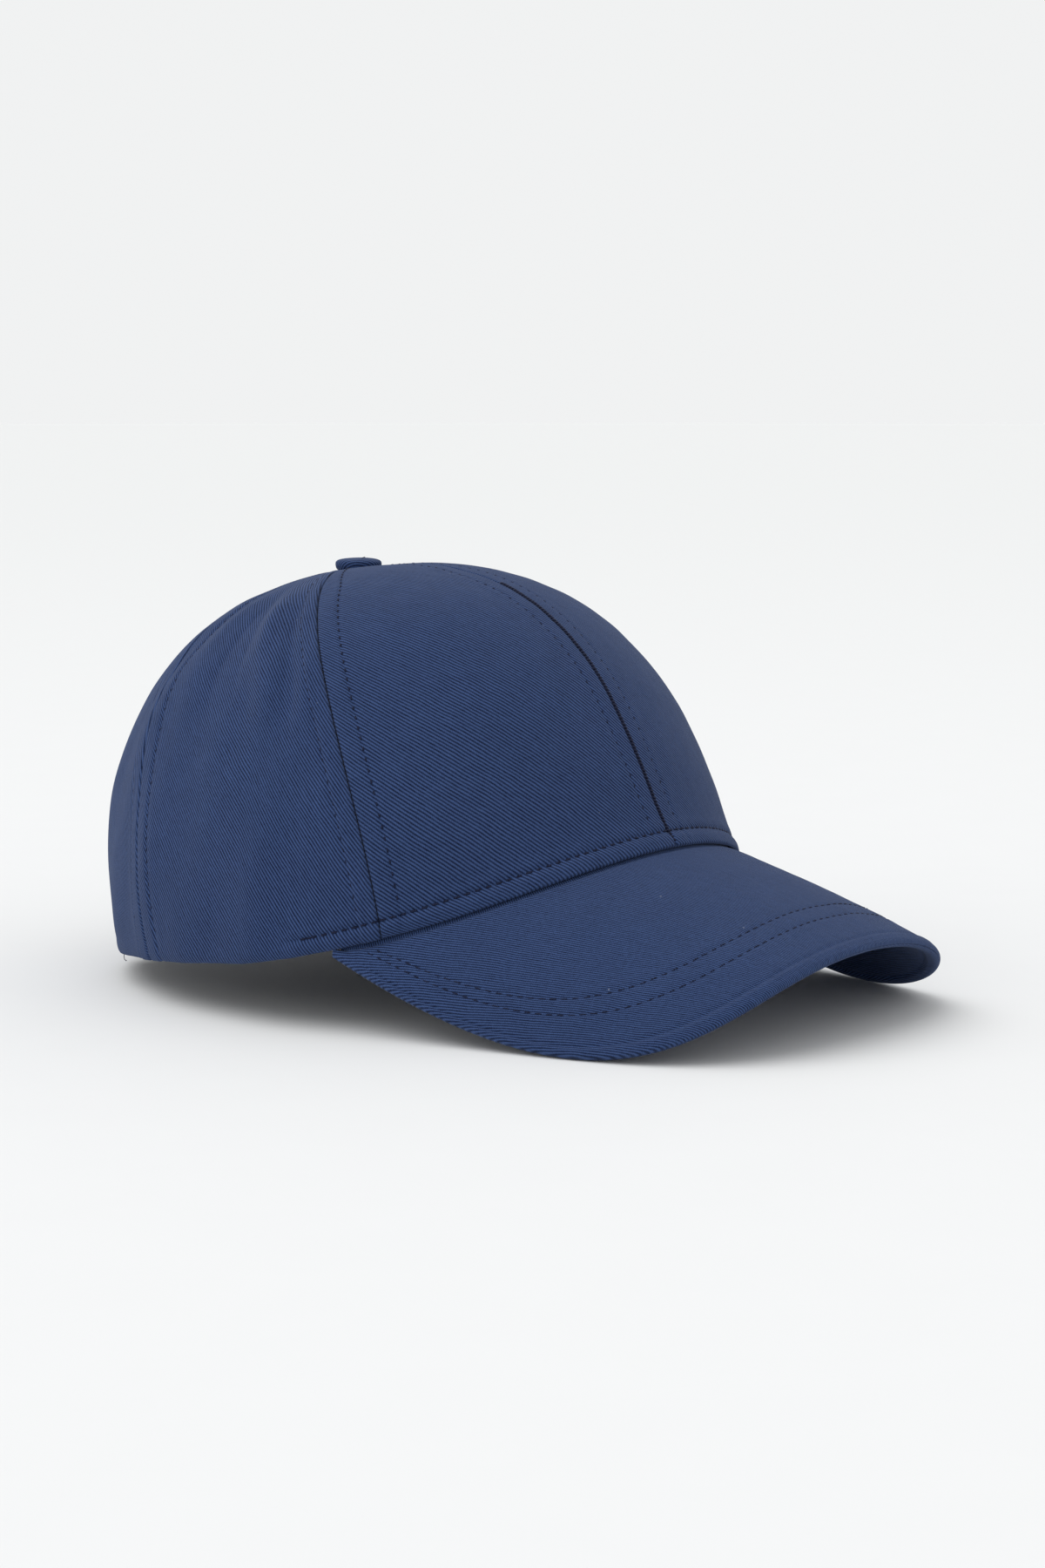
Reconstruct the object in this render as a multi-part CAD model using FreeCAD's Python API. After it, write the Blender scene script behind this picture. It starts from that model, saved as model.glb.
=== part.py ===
# Six-panel baseball cap with a pre-curved brim and a strap-and-clasp closure.
#
# Millimetres, +Z up. The brim points to -Y and +X is the wearer's left. The cap stands on
# the floor plane z = 0 with the centre of its bounding box over the origin.
# A place on the crown is given by an angle round it (0 at the front, pi at the rear) and by
# s, which runs from 0 at the top button to 1 at the hem. A depth is measured inwards from
# the outer face of the cloth.

import FreeCAD
import Part
import math
import os

# ---- crown, outer face of the cloth
HEM_HALF_WIDTH = 88.0
HEM_CENTRE_Y = 18.6
HEM_FRONT_REACH = 80.0
HEM_REAR_REACH = 104.0
HEM_HEIGHT = (19.3, 19.9, 3.9, 2.1)         # mean, then cosine terms of 1, 2 and 3 angles
TOP_Y = 54.4
TOP_Z = 116.4
# shape of the meridians, each as (mean, cos angle, cos 2 angle)
SHOULDER_REACH = (0.93, -0.077, -0.047)
SHOULDER_RISE = (0.05, 0.174, -0.018)
SIDE_BULGE = (0.032, -0.111, -0.044)
SIDE_RISE = (0.237, -0.216, 0.142)
DIMPLE_Z = 115.2                            # the button pulls the cloth level here
DIMPLE_RADIUS = 10.0

# ---- seams between the panels, in degrees: at the hem, and how much more at the top
FRONT_SIDE_SEAM = (60.1, 34.7)
SIDE_BACK_SEAM = (113.3, 30.0)
APEX_S = 0.014                              # the panels stop here, round the rivet's hole
SEAM_GAP = 0.05

# ---- layers of the crown: depth of the outer face, thickness
CLOTH = 0.9
BUCKRAM = (1.0, 0.45)
BINDING = (1.15, 0.45)
TAPE = (1.85, 0.5)
TAPE_WIDTH = 14.0
CENTER_TAPE_WIDTH = 18.0
TAPE_CROWN_RADIUS = 85.0                    # curve of the crown across a tape
SWEATBAND_THICK = 1.2
SWEATBAND_HEIGHT = 32.0
SWEATBAND_FRONT_DEPTH = 3.0
SWEATBAND_REAR_DEPTH = 5.2
SWEATBAND_END = 140.0
SWEATBAND_LIFT = 1.5                        # above the hem, along the cloth
LABEL_THICK = 0.3

# ---- rear opening
OPENING_HALF_WIDTH = 44.0
OPENING_SHOULDER_Z = 18.0
OPENING_ARCH_RISE = 30.0
BINDING_WIDTH = 8.0

# ---- brim: middle surface of the stack, right half of its outline by mirror
BRIM_TIP = (0.0, -124.3, 23.7)
BRIM_ROUND = (68.5, -124.3, 23.7)
BRIM_CORNER = (65.2, -104.7, -27.2)
BRIM_END_ANGLE = 69.3
BRIM_CROWNING = 1.57
BRIM_DROP = (2.6, -1.4)                     # middle surface below the hem: mid front, change at ends
BRIM_INSET = (0.8, 0.9)                     # inner edge inside the hem: mid front, change at ends
BRIM_HALF_THICK = 1.55
BRIM_COVER = 0.6
BOARD_HALF_THICK = 0.85
BOARD_INSET = 1.75
BRIM_SPAN = 0.955                           # share of the outline where the stack is full
BOARD_SPAN = 0.93

# ---- top button
BUTTON_RADIUS = 6.75
BUTTON_BOTTOM = 115.75
BUTTON_TOP = 119.2
BUTTON_SKIN = 0.5
RIVET_RADIUS = 1.5
RIVET_HOLE = 2.0
WASHER_RADIUS = 6.0

# ---- closure: the strap runs on a circle about a leaning axis
STRAP_TILT = 9.4
STRAP_CENTRE = (0.0, 37.0, 14.2)
STRAP_INNER = 80.75
STRAP_OUTER = 81.85
STRAP_LOW = 2.5
STRAP_WIDTH = 16.0
STRAP_ROOT = -48.0
STRAP_TAIL = 30.0
CLASP_ANGLE = 20.0
TAB_END = 38.0
PIN_PLACE = (-6.0, 3.2)                     # along the strap, outwards from its inner face
PIN_RADIUS = 0.9
PIN_HALF_LENGTH = 10.7
PIN_CLEARANCE = 0.05
FRAME_HALF_HEIGHT = 10.3
CHEEK = 1.0
LEVER_HALF_WIDTH = 8.9

Vector = FreeCAD.Vector
UP = Vector(0, 0, 1)


# ------------------------------------------------------------------ crown geometry
def harmonic(terms, angle):
    """Sum of cosine terms at an angle."""
    return sum(term * math.cos(order * angle) for order, term in enumerate(terms))


def hem_point(angle):
    """Point of the crown's lower edge."""
    reach = HEM_FRONT_REACH if math.cos(angle) > 0 else HEM_REAR_REACH
    return Vector(HEM_HALF_WIDTH * math.sin(angle),
                  HEM_CENTRE_Y - reach * math.cos(angle),
                  harmonic(HEM_HEIGHT, angle))


def crown_point(angle, s):
    """Point on the outer face of the cloth."""
    m = 1.0 - s
    hem = hem_point(angle)
    reach = (3 * m * m * s * harmonic(SHOULDER_REACH, angle)
             + 3 * m * s * s * (1 + harmonic(SIDE_BULGE, angle)) + s ** 3)
    rise = (m ** 3 + 3 * m * m * s * (1 + harmonic(SHOULDER_RISE, angle))
            + 3 * m * s * s * harmonic(SIDE_RISE, angle))
    x = hem.x * reach
    y = TOP_Y + (hem.y - TOP_Y) * reach
    z = hem.z + (TOP_Z - hem.z) * rise
    pull = 1.0 / (1.0 + (math.hypot(x, y - TOP_Y) / DIMPLE_RADIUS) ** 6)
    return Vector(x, y, z + (DIMPLE_Z - z) * pull)


def crown_normal(angle, s):
    """Outward unit normal of the crown."""
    step = 1e-4
    round_crown = crown_point(angle + step, s) - crown_point(angle - step, s)
    down_crown = crown_point(angle, s + step) - crown_point(angle, s - step)
    return down_crown.cross(round_crown).normalize()


def under_crown(angle, s, depth):
    """Point at a depth under the outer face."""
    return crown_point(angle, s) - crown_normal(angle, s) * depth


def s_above_hem(angle, height):
    """Value of s at a height above the hem, measured along the cloth."""
    s = 1.0
    step = 0.002
    travelled = 0.0
    while travelled < height:
        travelled += (crown_point(angle, s) - crown_point(angle, s - step)).Length
        s -= step
    return s


def crown_at(x, z):
    """Angle and s of the rear crown at a given x and z, by Newton steps."""
    angle = math.pi - math.asin(x / (HEM_HALF_WIDTH * 1.03))
    s = 0.85
    step = 1e-4
    for _ in range(30):
        here = crown_point(angle, s)
        by_angle = (crown_point(angle + step, s) - here) * (1 / step)
        by_s = (crown_point(angle, s + step) - here) * (1 / step)
        miss_x = x - here.x
        miss_z = z - here.z
        det = by_angle.x * by_s.z - by_s.x * by_angle.z
        angle += (miss_x * by_s.z - by_s.x * miss_z) / det
        s += (by_angle.x * miss_z - miss_x * by_angle.z) / det
    return angle, s


def seam_angle(seam, s):
    """Angle of a seam between two panels."""
    at_hem, more_at_top = seam
    return math.radians(at_hem + more_at_top * (1 - s) ** 2)


def steps(first, last, count):
    """Evenly spaced values from first to last."""
    return [first + (last - first) * i / (count - 1) for i in range(count)]


def steps_from_top(last, count):
    """Values of s from the rivet's hole down to last, closer together near the button."""
    return [APEX_S + (last - APEX_S) * share ** 1.7 for share in steps(0.0, 1.0, count)]


# ------------------------------------------------------------------ solids from sheets
def skin(grid):
    """Smooth surface through a grid of points."""
    surface = Part.BSplineSurface()
    surface.interpolate(grid)
    return surface


def rim_edges(surface):
    """The four border curves of a surface, in a fixed order."""
    u0, u1, v0, v1 = surface.bounds()
    return [surface.uIso(u0).toShape(), surface.uIso(u1).toShape(),
            surface.vIso(v0).toShape(), surface.vIso(v1).toShape()]


def sheet(outer, inner):
    """Closed solid between two matching grids of points."""
    top = skin(outer)
    bottom = skin(inner)
    faces = [top.toShape(), bottom.toShape()]
    for edge, other in zip(rim_edges(top), rim_edges(bottom)):
        faces.append(Part.makeRuledSurface(edge, other))
    shell = Part.makeShell(faces)
    shell.sewShape()
    solid = Part.makeSolid(shell)
    if solid.Volume < 0:
        solid.reverse()
    return solid


def crown_sheet(low_angle, high_angle, s_values, depth, thick, columns=11):
    """Layer of the crown between two boundary angles given as functions of s."""
    outer = []
    inner = []
    for s in s_values:
        angles = steps(low_angle(s), high_angle(s), columns)
        outer.append([under_crown(angle, s, depth) for angle in angles])
        inner.append([under_crown(angle, s, depth + thick) for angle in angles])
    return sheet(outer, inner)


def tape(path, width, depth, thick):
    """Strip laid under the crown along a path of (angle, s) pairs."""
    centres = [crown_point(angle, s) for angle, s in path]
    outer = []
    inner = []
    for i, (angle, s) in enumerate(path):
        ahead = centres[min(i + 1, len(path) - 1)]
        behind = centres[max(i - 1, 0)]
        normal = crown_normal(angle, s)
        across = normal.cross(ahead - behind).normalize()
        rows = [(outer, depth), (inner, depth + thick)]
        for grid, level in rows:
            row = []
            for offset in steps(-width / 2, width / 2, 5):
                sag = offset ** 2 / (2 * TAPE_CROWN_RADIUS)
                row.append(centres[i] + across * offset - normal * (level + sag))
            grid.append(row)
    return sheet(outer, inner)


def mirrored(shape):
    """The same piece on the other side of the cap."""
    return shape.mirror(Vector(0, 0, 0), Vector(1, 0, 0))


def rod(radius, low, high, centre_y):
    """Upright cylinder on the cap's middle plane."""
    return Part.makeCylinder(radius, high - low, Vector(0, centre_y, low), UP)


# ------------------------------------------------------------------ crown pieces
def opening_cutter():
    """Arched block that cuts the rear opening."""
    low = -10.0
    near_y = TOP_Y
    corners = [Vector(OPENING_HALF_WIDTH, near_y, OPENING_SHOULDER_Z),
               Vector(OPENING_HALF_WIDTH, near_y, low),
               Vector(-OPENING_HALF_WIDTH, near_y, low),
               Vector(-OPENING_HALF_WIDTH, near_y, OPENING_SHOULDER_Z)]
    sides = [Part.LineSegment(corners[i], corners[i + 1]).toShape() for i in range(3)]
    centre = Vector(0, near_y, OPENING_SHOULDER_Z)
    top = Vector(0, near_y, OPENING_SHOULDER_Z + OPENING_ARCH_RISE)
    ellipse = Part.Ellipse(corners[0], top, centre)
    arch = Part.ArcOfEllipse(ellipse, 0, math.pi).toShape()
    outline = Part.Wire(Part.__sortEdges__(sides + [arch]))
    return Part.Face(outline).extrude(Vector(0, 100, 0))


def opening_outline(share, out):
    """Point (x, z) at a share of the opening's edge and a distance outside it."""
    straight = OPENING_SHOULDER_Z - 6.0
    arch = math.pi * (OPENING_HALF_WIDTH + OPENING_ARCH_RISE) / 2
    along = share * (2 * straight + arch)
    wide = OPENING_HALF_WIDTH + out
    if along < straight:
        return wide, OPENING_SHOULDER_Z - straight + along
    if along > straight + arch:
        return -wide, OPENING_SHOULDER_Z - (along - straight - arch)
    turn = math.pi * (along - straight) / arch
    return wide * math.cos(turn), OPENING_SHOULDER_Z + (OPENING_ARCH_RISE + out) * math.sin(turn)


def opening_binding():
    """Tape behind the edge of the rear opening."""
    depth, thick = BINDING
    outer = []
    inner = []
    for share in steps(0.0, 1.0, 27):
        places = [crown_at(*opening_outline(share, out)) for out in steps(0.3, BINDING_WIDTH, 4)]
        outer.append([under_crown(angle, s, depth) for angle, s in places])
        inner.append([under_crown(angle, s, depth + thick) for angle, s in places])
    return sheet(outer, inner)


def panels():
    """The six panels, as a dict of left-hand and right-hand shapes."""
    s_values = steps_from_top(1.0, 19)

    def gap(s):
        return SEAM_GAP / (HEM_HALF_WIDTH * max(s, APEX_S))

    left = {
        "front_panel": crown_sheet(lambda s: gap(s),
                                   lambda s: seam_angle(FRONT_SIDE_SEAM, s) - gap(s),
                                   s_values, 0.0, CLOTH),
        "side_panel": crown_sheet(lambda s: seam_angle(FRONT_SIDE_SEAM, s) + gap(s),
                                  lambda s: seam_angle(SIDE_BACK_SEAM, s) - gap(s),
                                  s_values, 0.0, CLOTH),
        "back_panel": crown_sheet(lambda s: seam_angle(SIDE_BACK_SEAM, s) + gap(s),
                                  lambda s: math.pi - gap(s),
                                  s_values, 0.0, CLOTH).cut(opening_cutter()),
    }
    return left


def front_buckram():
    """Stiffener fused behind the left front panel."""
    margin = math.radians(3.0)
    depth, thick = BUCKRAM
    return crown_sheet(lambda s: margin, lambda s: seam_angle(FRONT_SIDE_SEAM, s) - margin,
                       steps(0.10, 0.97, 11), depth, thick)


def seam_tapes():
    """Tapes over the seams: the left-hand ones and the long middle one."""
    depth, thick = TAPE
    tapes = {}
    for name, seam, top_s in (("front_side_tape", FRONT_SIDE_SEAM, 0.06),
                              ("side_back_tape", SIDE_BACK_SEAM, 0.13)):
        path = [(seam_angle(seam, s), s) for s in steps(top_s, 0.975, 15)]
        tapes[name] = tape(path, TAPE_WIDTH, depth, thick)
    arch_top = crown_at(0.0, OPENING_SHOULDER_Z + OPENING_ARCH_RISE + 1.0)[1]
    path = [(0.0, s) for s in reversed(steps_from_top(0.975, 17))]
    path += [(math.pi, s) for s in steps_from_top(arch_top, 15)]
    middle = tape(path, CENTER_TAPE_WIDTH, depth, thick)
    return tapes, middle.cut(rod(RIVET_HOLE, TOP_Z - 10, TOP_Z + 10, TOP_Y))


def sweatband_depth(angle):
    """Depth of the sweatband's outer face, more at the rear where the strap runs."""
    turn = (abs(math.degrees(angle)) - 60.0) / 45.0
    turn = min(max(turn, 0.0), 1.0)
    ramp = turn * turn * (3 - 2 * turn)
    return SWEATBAND_FRONT_DEPTH + (SWEATBAND_REAR_DEPTH - SWEATBAND_FRONT_DEPTH) * ramp


def band_sheet(first, last, low, high, extra_depth, thick, columns, rows):
    """Layer that follows the sweatband between two angles in degrees and two heights."""
    outer = []
    inner = []
    for degrees in steps(first, last, columns):
        angle = math.radians(degrees)
        depth = sweatband_depth(angle) + extra_depth
        s_values = [s_above_hem(angle, height) for height in steps(low, high, rows)]
        outer.append([under_crown(angle, s, depth) for s in s_values])
        inner.append([under_crown(angle, s, depth + thick) for s in s_values])
    return sheet(outer, inner)


# ------------------------------------------------------------------ brim
def brim_offset(sizes, t):
    """Offset of the brim's inner edge from the hem, which changes towards the brim's ends."""
    at_front, change = sizes
    return at_front + change * t * t


def brim_outline(t):
    """Outer edge of the brim's middle surface, t from -1 on the right to 1 on the left."""
    share = abs(t)
    m = 1.0 - share
    end = hem_point(math.radians(BRIM_END_ANGLE)) - UP * brim_offset(BRIM_DROP, 1.0)
    point = (Vector(*BRIM_TIP) * m ** 3 + Vector(*BRIM_ROUND) * (3 * m * m * share)
             + Vector(*BRIM_CORNER) * (3 * m * share * share) + end * share ** 3)
    return Vector(math.copysign(point.x, t), point.y, point.z)


def brim_root(t):
    """Inner edge of the brim's middle surface, just under the hem."""
    angle = math.radians(BRIM_END_ANGLE) * t
    hem = hem_point(angle)
    outwards = Vector(math.sin(angle), -math.cos(angle), 0)
    return hem - outwards * brim_offset(BRIM_INSET, t) - UP * brim_offset(BRIM_DROP, t)


def brim_middle(t, share):
    """Middle surface of the brim, share 0 at the hem and 1 at the outer edge."""
    rise = BRIM_CROWNING * 4 * share * (1 - share)
    return brim_root(t) * (1 - share) + brim_outline(t) * share + UP * rise


def brim_place(t, from_edge, height):
    """Point at a distance in from the outer edge and a height off the middle surface."""
    length = (brim_outline(t) - brim_root(t)).Length
    share = 1.0 - from_edge / length
    step = 1e-3
    along = brim_middle(t + step, share) - brim_middle(t - step, share)
    out = brim_middle(t, share + step) - brim_middle(t, share - step)
    normal = out.cross(along).normalize()
    return brim_middle(t, share) + normal * height


def brim_grid(span, from_edges, turn_radius, height):
    """Grid over the brim: flat at a height, then rolled down round the outer edge."""
    grid = []
    for t in steps(-span, span, 41):
        length = (brim_outline(t) - brim_root(t)).Length
        first, last = from_edges
        row = [brim_place(t, length - first - (length - first - last) * i / 7, height)
               for i in range(8)]
        if turn_radius:
            for turn in steps(18.0, 88.0, 5):
                lean = math.radians(turn)
                inwards = last - turn_radius * math.sin(lean)
                drop = math.copysign(turn_radius * math.cos(lean), height)
                row.append(brim_place(t, inwards, drop))
        grid.append(row)
    return grid


def brim_cover(side):
    """Twill cover of one face of the brim, side +1 on top and -1 underneath."""
    inside = BRIM_HALF_THICK - BRIM_COVER
    edges = (0.0, BRIM_HALF_THICK)
    outer = brim_grid(BRIM_SPAN, edges, BRIM_HALF_THICK, side * BRIM_HALF_THICK)
    inner = brim_grid(BRIM_SPAN, edges, inside, side * inside)
    return sheet(outer, inner)


def brim_board():
    """Stiff board between the two covers."""
    edges = (0.5, BOARD_INSET)
    return sheet(brim_grid(BOARD_SPAN, edges, 0, BOARD_HALF_THICK),
                 brim_grid(BOARD_SPAN, edges, 0, -BOARD_HALF_THICK))


# ------------------------------------------------------------------ top button
def dome_outline(radius, bottom, top, rim):
    """Half outline of a domed cap, from its top on the axis to its rim underneath."""
    high = top - bottom

    def at(out, up):
        return Vector(out, TOP_Y, up)

    crest = at(0, top)
    brow = at(radius * 0.45, top)
    shoulder = at(radius, bottom + 0.48 * high)
    foot = at(radius * 0.84, bottom)
    return [Part.LineSegment(crest, brow).toShape(),
            Part.Arc(brow, at(radius * 0.86, top - 0.14 * high), shoulder).toShape(),
            Part.Arc(shoulder, at(radius * 0.96, bottom + 0.14 * high), foot).toShape(),
            Part.LineSegment(foot, at(rim, bottom)).toShape()]


def dome(radius, bottom, top, rim, thick):
    """Thin domed cap with an inward rim."""
    outer = dome_outline(radius, bottom, top, rim)
    inner = dome_outline(radius - thick, bottom + thick, top - thick, rim)
    joins = [Part.LineSegment(outer[0].Vertexes[0].Point, inner[0].Vertexes[0].Point).toShape(),
             Part.LineSegment(outer[-1].Vertexes[1].Point, inner[-1].Vertexes[1].Point).toShape()]
    outline = Part.Wire(Part.__sortEdges__(outer + inner + joins))
    return Part.Face(outline).revolve(Vector(0, TOP_Y, 0), UP, 360)


def button_pieces():
    """Covered button with its metal dome, rivet and inner washer."""
    gap = 0.05
    rim = BUTTON_RADIUS * 0.7
    cover = dome(BUTTON_RADIUS, BUTTON_BOTTOM, BUTTON_TOP, rim, BUTTON_SKIN)
    inset = BUTTON_SKIN + gap
    shell = dome(BUTTON_RADIUS - inset, BUTTON_BOTTOM + inset, BUTTON_TOP - inset, rim, BUTTON_SKIN)
    head_low = BUTTON_BOTTOM + inset + BUTTON_SKIN + gap
    tape_bottom = DIMPLE_Z - sum(TAPE)
    washer_low = tape_bottom - 0.9
    clinch_low = washer_low - 0.7
    rivet = rod(4.4, head_low, head_low + 0.5, TOP_Y)
    rivet = rivet.fuse(rod(RIVET_RADIUS, clinch_low, head_low + 0.3, TOP_Y))
    rivet = rivet.fuse(rod(2.6, clinch_low, clinch_low + 0.6, TOP_Y)).removeSplitter()
    washer = rod(WASHER_RADIUS, washer_low, washer_low + 0.6, TOP_Y)
    washer = washer.cut(rod(RIVET_RADIUS + PIN_CLEARANCE, washer_low - 1, washer_low + 2, TOP_Y))
    return {"button_cover": cover, "button_shell": shell,
            "button_rivet": rivet, "button_washer": washer}


# ------------------------------------------------------------------ closure
def closure_place():
    """Frame of the strap: its Z is the strap's axis and its +Y points to the rear."""
    return FreeCAD.Placement(Vector(*STRAP_CENTRE), FreeCAD.Rotation(Vector(1, 0, 0), -STRAP_TILT))


def clasp_place():
    """Frame of the clasp: X along the strap, Y outwards, Z along the strap's axis."""
    turn = FreeCAD.Rotation(UP, -CLASP_ANGLE)
    centre = turn.multVec(Vector(0, STRAP_INNER, STRAP_LOW + STRAP_WIDTH / 2))
    return closure_place().multiply(FreeCAD.Placement(centre, turn))


def placed(shape, placement):
    """Copy of a shape moved from a local frame into the cap's frame."""
    moved = shape.copy()
    moved.Placement = placement.multiply(moved.Placement)
    return moved


def on_circle(radius, degrees, centre_y=0.0):
    """Point on a circle, the angle measured from +Y towards +X."""
    angle = math.radians(degrees)
    return Vector(radius * math.sin(angle), centre_y + radius * math.cos(angle), 0)


def arc(radius, first, last, centre_y=0.0):
    """Arc of a circle between two angles."""
    middle = (first + last) / 2
    return Part.Arc(on_circle(radius, first, centre_y), on_circle(radius, middle, centre_y),
                    on_circle(radius, last, centre_y)).toShape()


def adjuster_strap():
    """Twill strap with a rounded tail."""
    outer = arc(STRAP_OUTER, STRAP_ROOT, STRAP_TAIL)
    inner = arc(STRAP_INNER, STRAP_TAIL, STRAP_ROOT)
    ends = [Part.LineSegment(on_circle(STRAP_OUTER, a), on_circle(STRAP_INNER, a)).toShape()
            for a in (STRAP_ROOT, STRAP_TAIL)]
    face = Part.Face(Part.Wire(Part.__sortEdges__([outer, inner] + ends)))
    strap = face.extrude(Vector(0, 0, STRAP_WIDTH))
    tail = on_circle((STRAP_OUTER + STRAP_INNER) / 2, STRAP_TAIL)
    corners = [edge for edge in strap.Edges
               if edge.Length < 2 and math.hypot(edge.CenterOfMass.x - tail.x,
                                                 edge.CenterOfMass.y - tail.y) < 0.5]
    strap = strap.makeFillet(5.0, corners)
    strap.translate(Vector(0, 0, STRAP_LOW))
    return placed(strap, closure_place())


def block(x_span, y_span, z_half):
    """Box in the clasp's frame, even about the middle of the strap."""
    x0, x1 = x_span
    y0, y1 = y_span
    return Part.makeBox(x1 - x0, y1 - y0, 2 * z_half, Vector(x0, y0, -z_half))


def barrel(radius, half_length):
    """Cylinder about the lever's pin, in the clasp's frame."""
    x, y = PIN_PLACE
    return Part.makeCylinder(radius, 2 * half_length, Vector(x, y, -half_length), UP)


def clasp_frame():
    """Metal floor under the strap, with a slot for the tab and two cheeks for the pin."""
    left, right = -9.0, 9.0
    back, front = -2.9, 4.9
    floor = block((left, right), (back, back + 0.8), FRAME_HALF_HEIGHT)
    slot = block((3.2, 6.2), (back - 1, back + 2), STRAP_WIDTH / 2 + 0.5)
    jaw = block((left, left + 2.8), (back, -0.85), FRAME_HALF_HEIGHT)
    cheeks = block((left, left + 6.5), (back, front), FRAME_HALF_HEIGHT)
    cheeks = cheeks.cut(block((left - 1, right), (back - 1, front + 1), FRAME_HALF_HEIGHT - CHEEK))
    frame = floor.cut(slot).fuse(jaw).fuse(cheeks).removeSplitter()
    rounded = [edge for edge in frame.Edges
               if abs(edge.Length - CHEEK) < 0.01 and edge.CenterOfMass.y > front - 0.1
               and abs(edge.Vertexes[0].Z - edge.Vertexes[-1].Z) > 0.9 * CHEEK]
    frame = frame.makeFillet(2.0, rounded)
    return placed(frame.cut(barrel(PIN_RADIUS + PIN_CLEARANCE, 14.0)), clasp_place())


def clasp_lever():
    """Lever that clamps the strap with the cam round its pin."""
    pin_x, pin_y = PIN_PLACE
    plate = block((pin_x, 10.0), (pin_y + 0.5, pin_y + 1.5), LEVER_HALF_WIDTH)
    lip = block((9.0, 10.0), (pin_y - 0.9, pin_y + 1.5), LEVER_HALF_WIDTH)
    lever = plate.fuse(lip).fuse(barrel(2.0, LEVER_HALF_WIDTH)).removeSplitter()
    corners = [edge for edge in lever.Edges
               if edge.CenterOfMass.x > 9.2 and abs(edge.CenterOfMass.z) > LEVER_HALF_WIDTH - 0.01
               and abs(edge.Vertexes[0].X - edge.Vertexes[-1].X) > 0.9
               and edge.CenterOfMass.y < pin_y]
    lever = lever.makeFillet(0.8, corners) if corners else lever
    return placed(lever.cut(barrel(PIN_RADIUS + PIN_CLEARANCE, 14.0)), clasp_place())


def clasp_pin():
    """Pin through both cheeks and the lever."""
    return placed(barrel(PIN_RADIUS, PIN_HALF_LENGTH), clasp_place())


def strap_tab():
    """Loop of twill round the clasp's rear bar, sewn in behind the left back panel."""
    half_width = STRAP_WIDTH / 2
    tab_outer = STRAP_INNER - 0.4
    tab_inner = STRAP_INNER - 1.8
    end = TAB_END - CLASP_ANGLE
    centre_y = -STRAP_INNER

    def angle_at(radius, x):
        return math.degrees(math.asin(x / radius))

    corners = [on_circle(tab_outer, angle_at(tab_outer, 4.0), centre_y), Vector(4.0, -3.6, 0),
               Vector(10.0, -3.7, 0), on_circle(tab_inner, angle_at(tab_inner, 13.5), centre_y)]
    edges = [Part.LineSegment(corners[i], corners[i + 1]).toShape() for i in range(3)]
    edges.append(arc(tab_inner, angle_at(tab_inner, 13.5), end, centre_y))
    edges.append(Part.LineSegment(on_circle(tab_inner, end, centre_y),
                                  on_circle(tab_outer, end, centre_y)).toShape())
    edges.append(arc(tab_outer, end, angle_at(tab_outer, 4.0), centre_y))
    tab = Part.Face(Part.Wire(Part.__sortEdges__(edges))).extrude(Vector(0, 0, 2 * half_width))
    tab.translate(Vector(0, 0, -half_width))
    return placed(tab.cut(block((5.9, 9.3), (-3.0, -2.0), 12.0)), clasp_place())


# ------------------------------------------------------------------ assembly
def build():
    """All nodes of the cap by name."""
    nodes = {}
    tapes, middle_tape = seam_tapes()
    pairs = dict(panels(), front_buckram=front_buckram(), **tapes)
    for name, shape in pairs.items():
        nodes[name + "_left"] = shape
        nodes[name + "_right"] = mirrored(shape)
    nodes["center_seam_tape"] = middle_tape
    nodes["opening_binding"] = opening_binding()
    nodes["sweatband"] = band_sheet(-SWEATBAND_END, SWEATBAND_END, SWEATBAND_LIFT,
                                    SWEATBAND_LIFT + SWEATBAND_HEIGHT, 0.0, SWEATBAND_THICK, 49, 6)
    nodes["care_label"] = band_sheet(98.0, 114.0, 8.0, 31.0, SWEATBAND_THICK + 0.15,
                                     LABEL_THICK, 6, 5)
    nodes["brim_cover_top"] = brim_cover(1)
    nodes["brim_cover_bottom"] = brim_cover(-1)
    nodes["brim_board"] = brim_board()
    nodes.update(button_pieces())
    nodes["adjuster_strap"] = adjuster_strap()
    nodes["strap_tab"] = strap_tab()
    nodes["clasp_frame"] = clasp_frame()
    nodes["clasp_lever"] = clasp_lever()
    nodes["clasp_pin"] = clasp_pin()
    return nodes


def main():
    """Write one STEP file for each node and report the joints' places."""
    os.makedirs("parts", exist_ok=True)
    whole = FreeCAD.BoundBox()
    for name, shape in sorted(build().items()):
        shape.exportStep("parts/" + name + ".step")
        box = shape.optimalBoundingBox()
        whole.add(box)
        print(f"{name:24s} valid {shape.isValid()} solids {len(shape.Solids)}"
              f" volume {shape.Volume:9.1f} mm3, height {box.ZMin:6.2f} to {box.ZMax:6.2f}")
    print("box", whole)
    axis = closure_place().Rotation.multVec(UP)
    print("strap axis through", STRAP_CENTRE, "along", axis)
    print("lever pin at", clasp_place().multVec(Vector(PIN_PLACE[0], PIN_PLACE[1], 0)))


main()
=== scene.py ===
"""Six-panel baseball cap: the looks of every piece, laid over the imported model.

Lengths in the classes are millimetres and meshes are written in metres. The brim points to
-Y, +X is the wearer's left and the cap stands on z = 0. A place on the crown is an angle
round it (0 at the front, pi at the rear) and s, from 0 at the button to 1 at the hem.
"""

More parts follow.
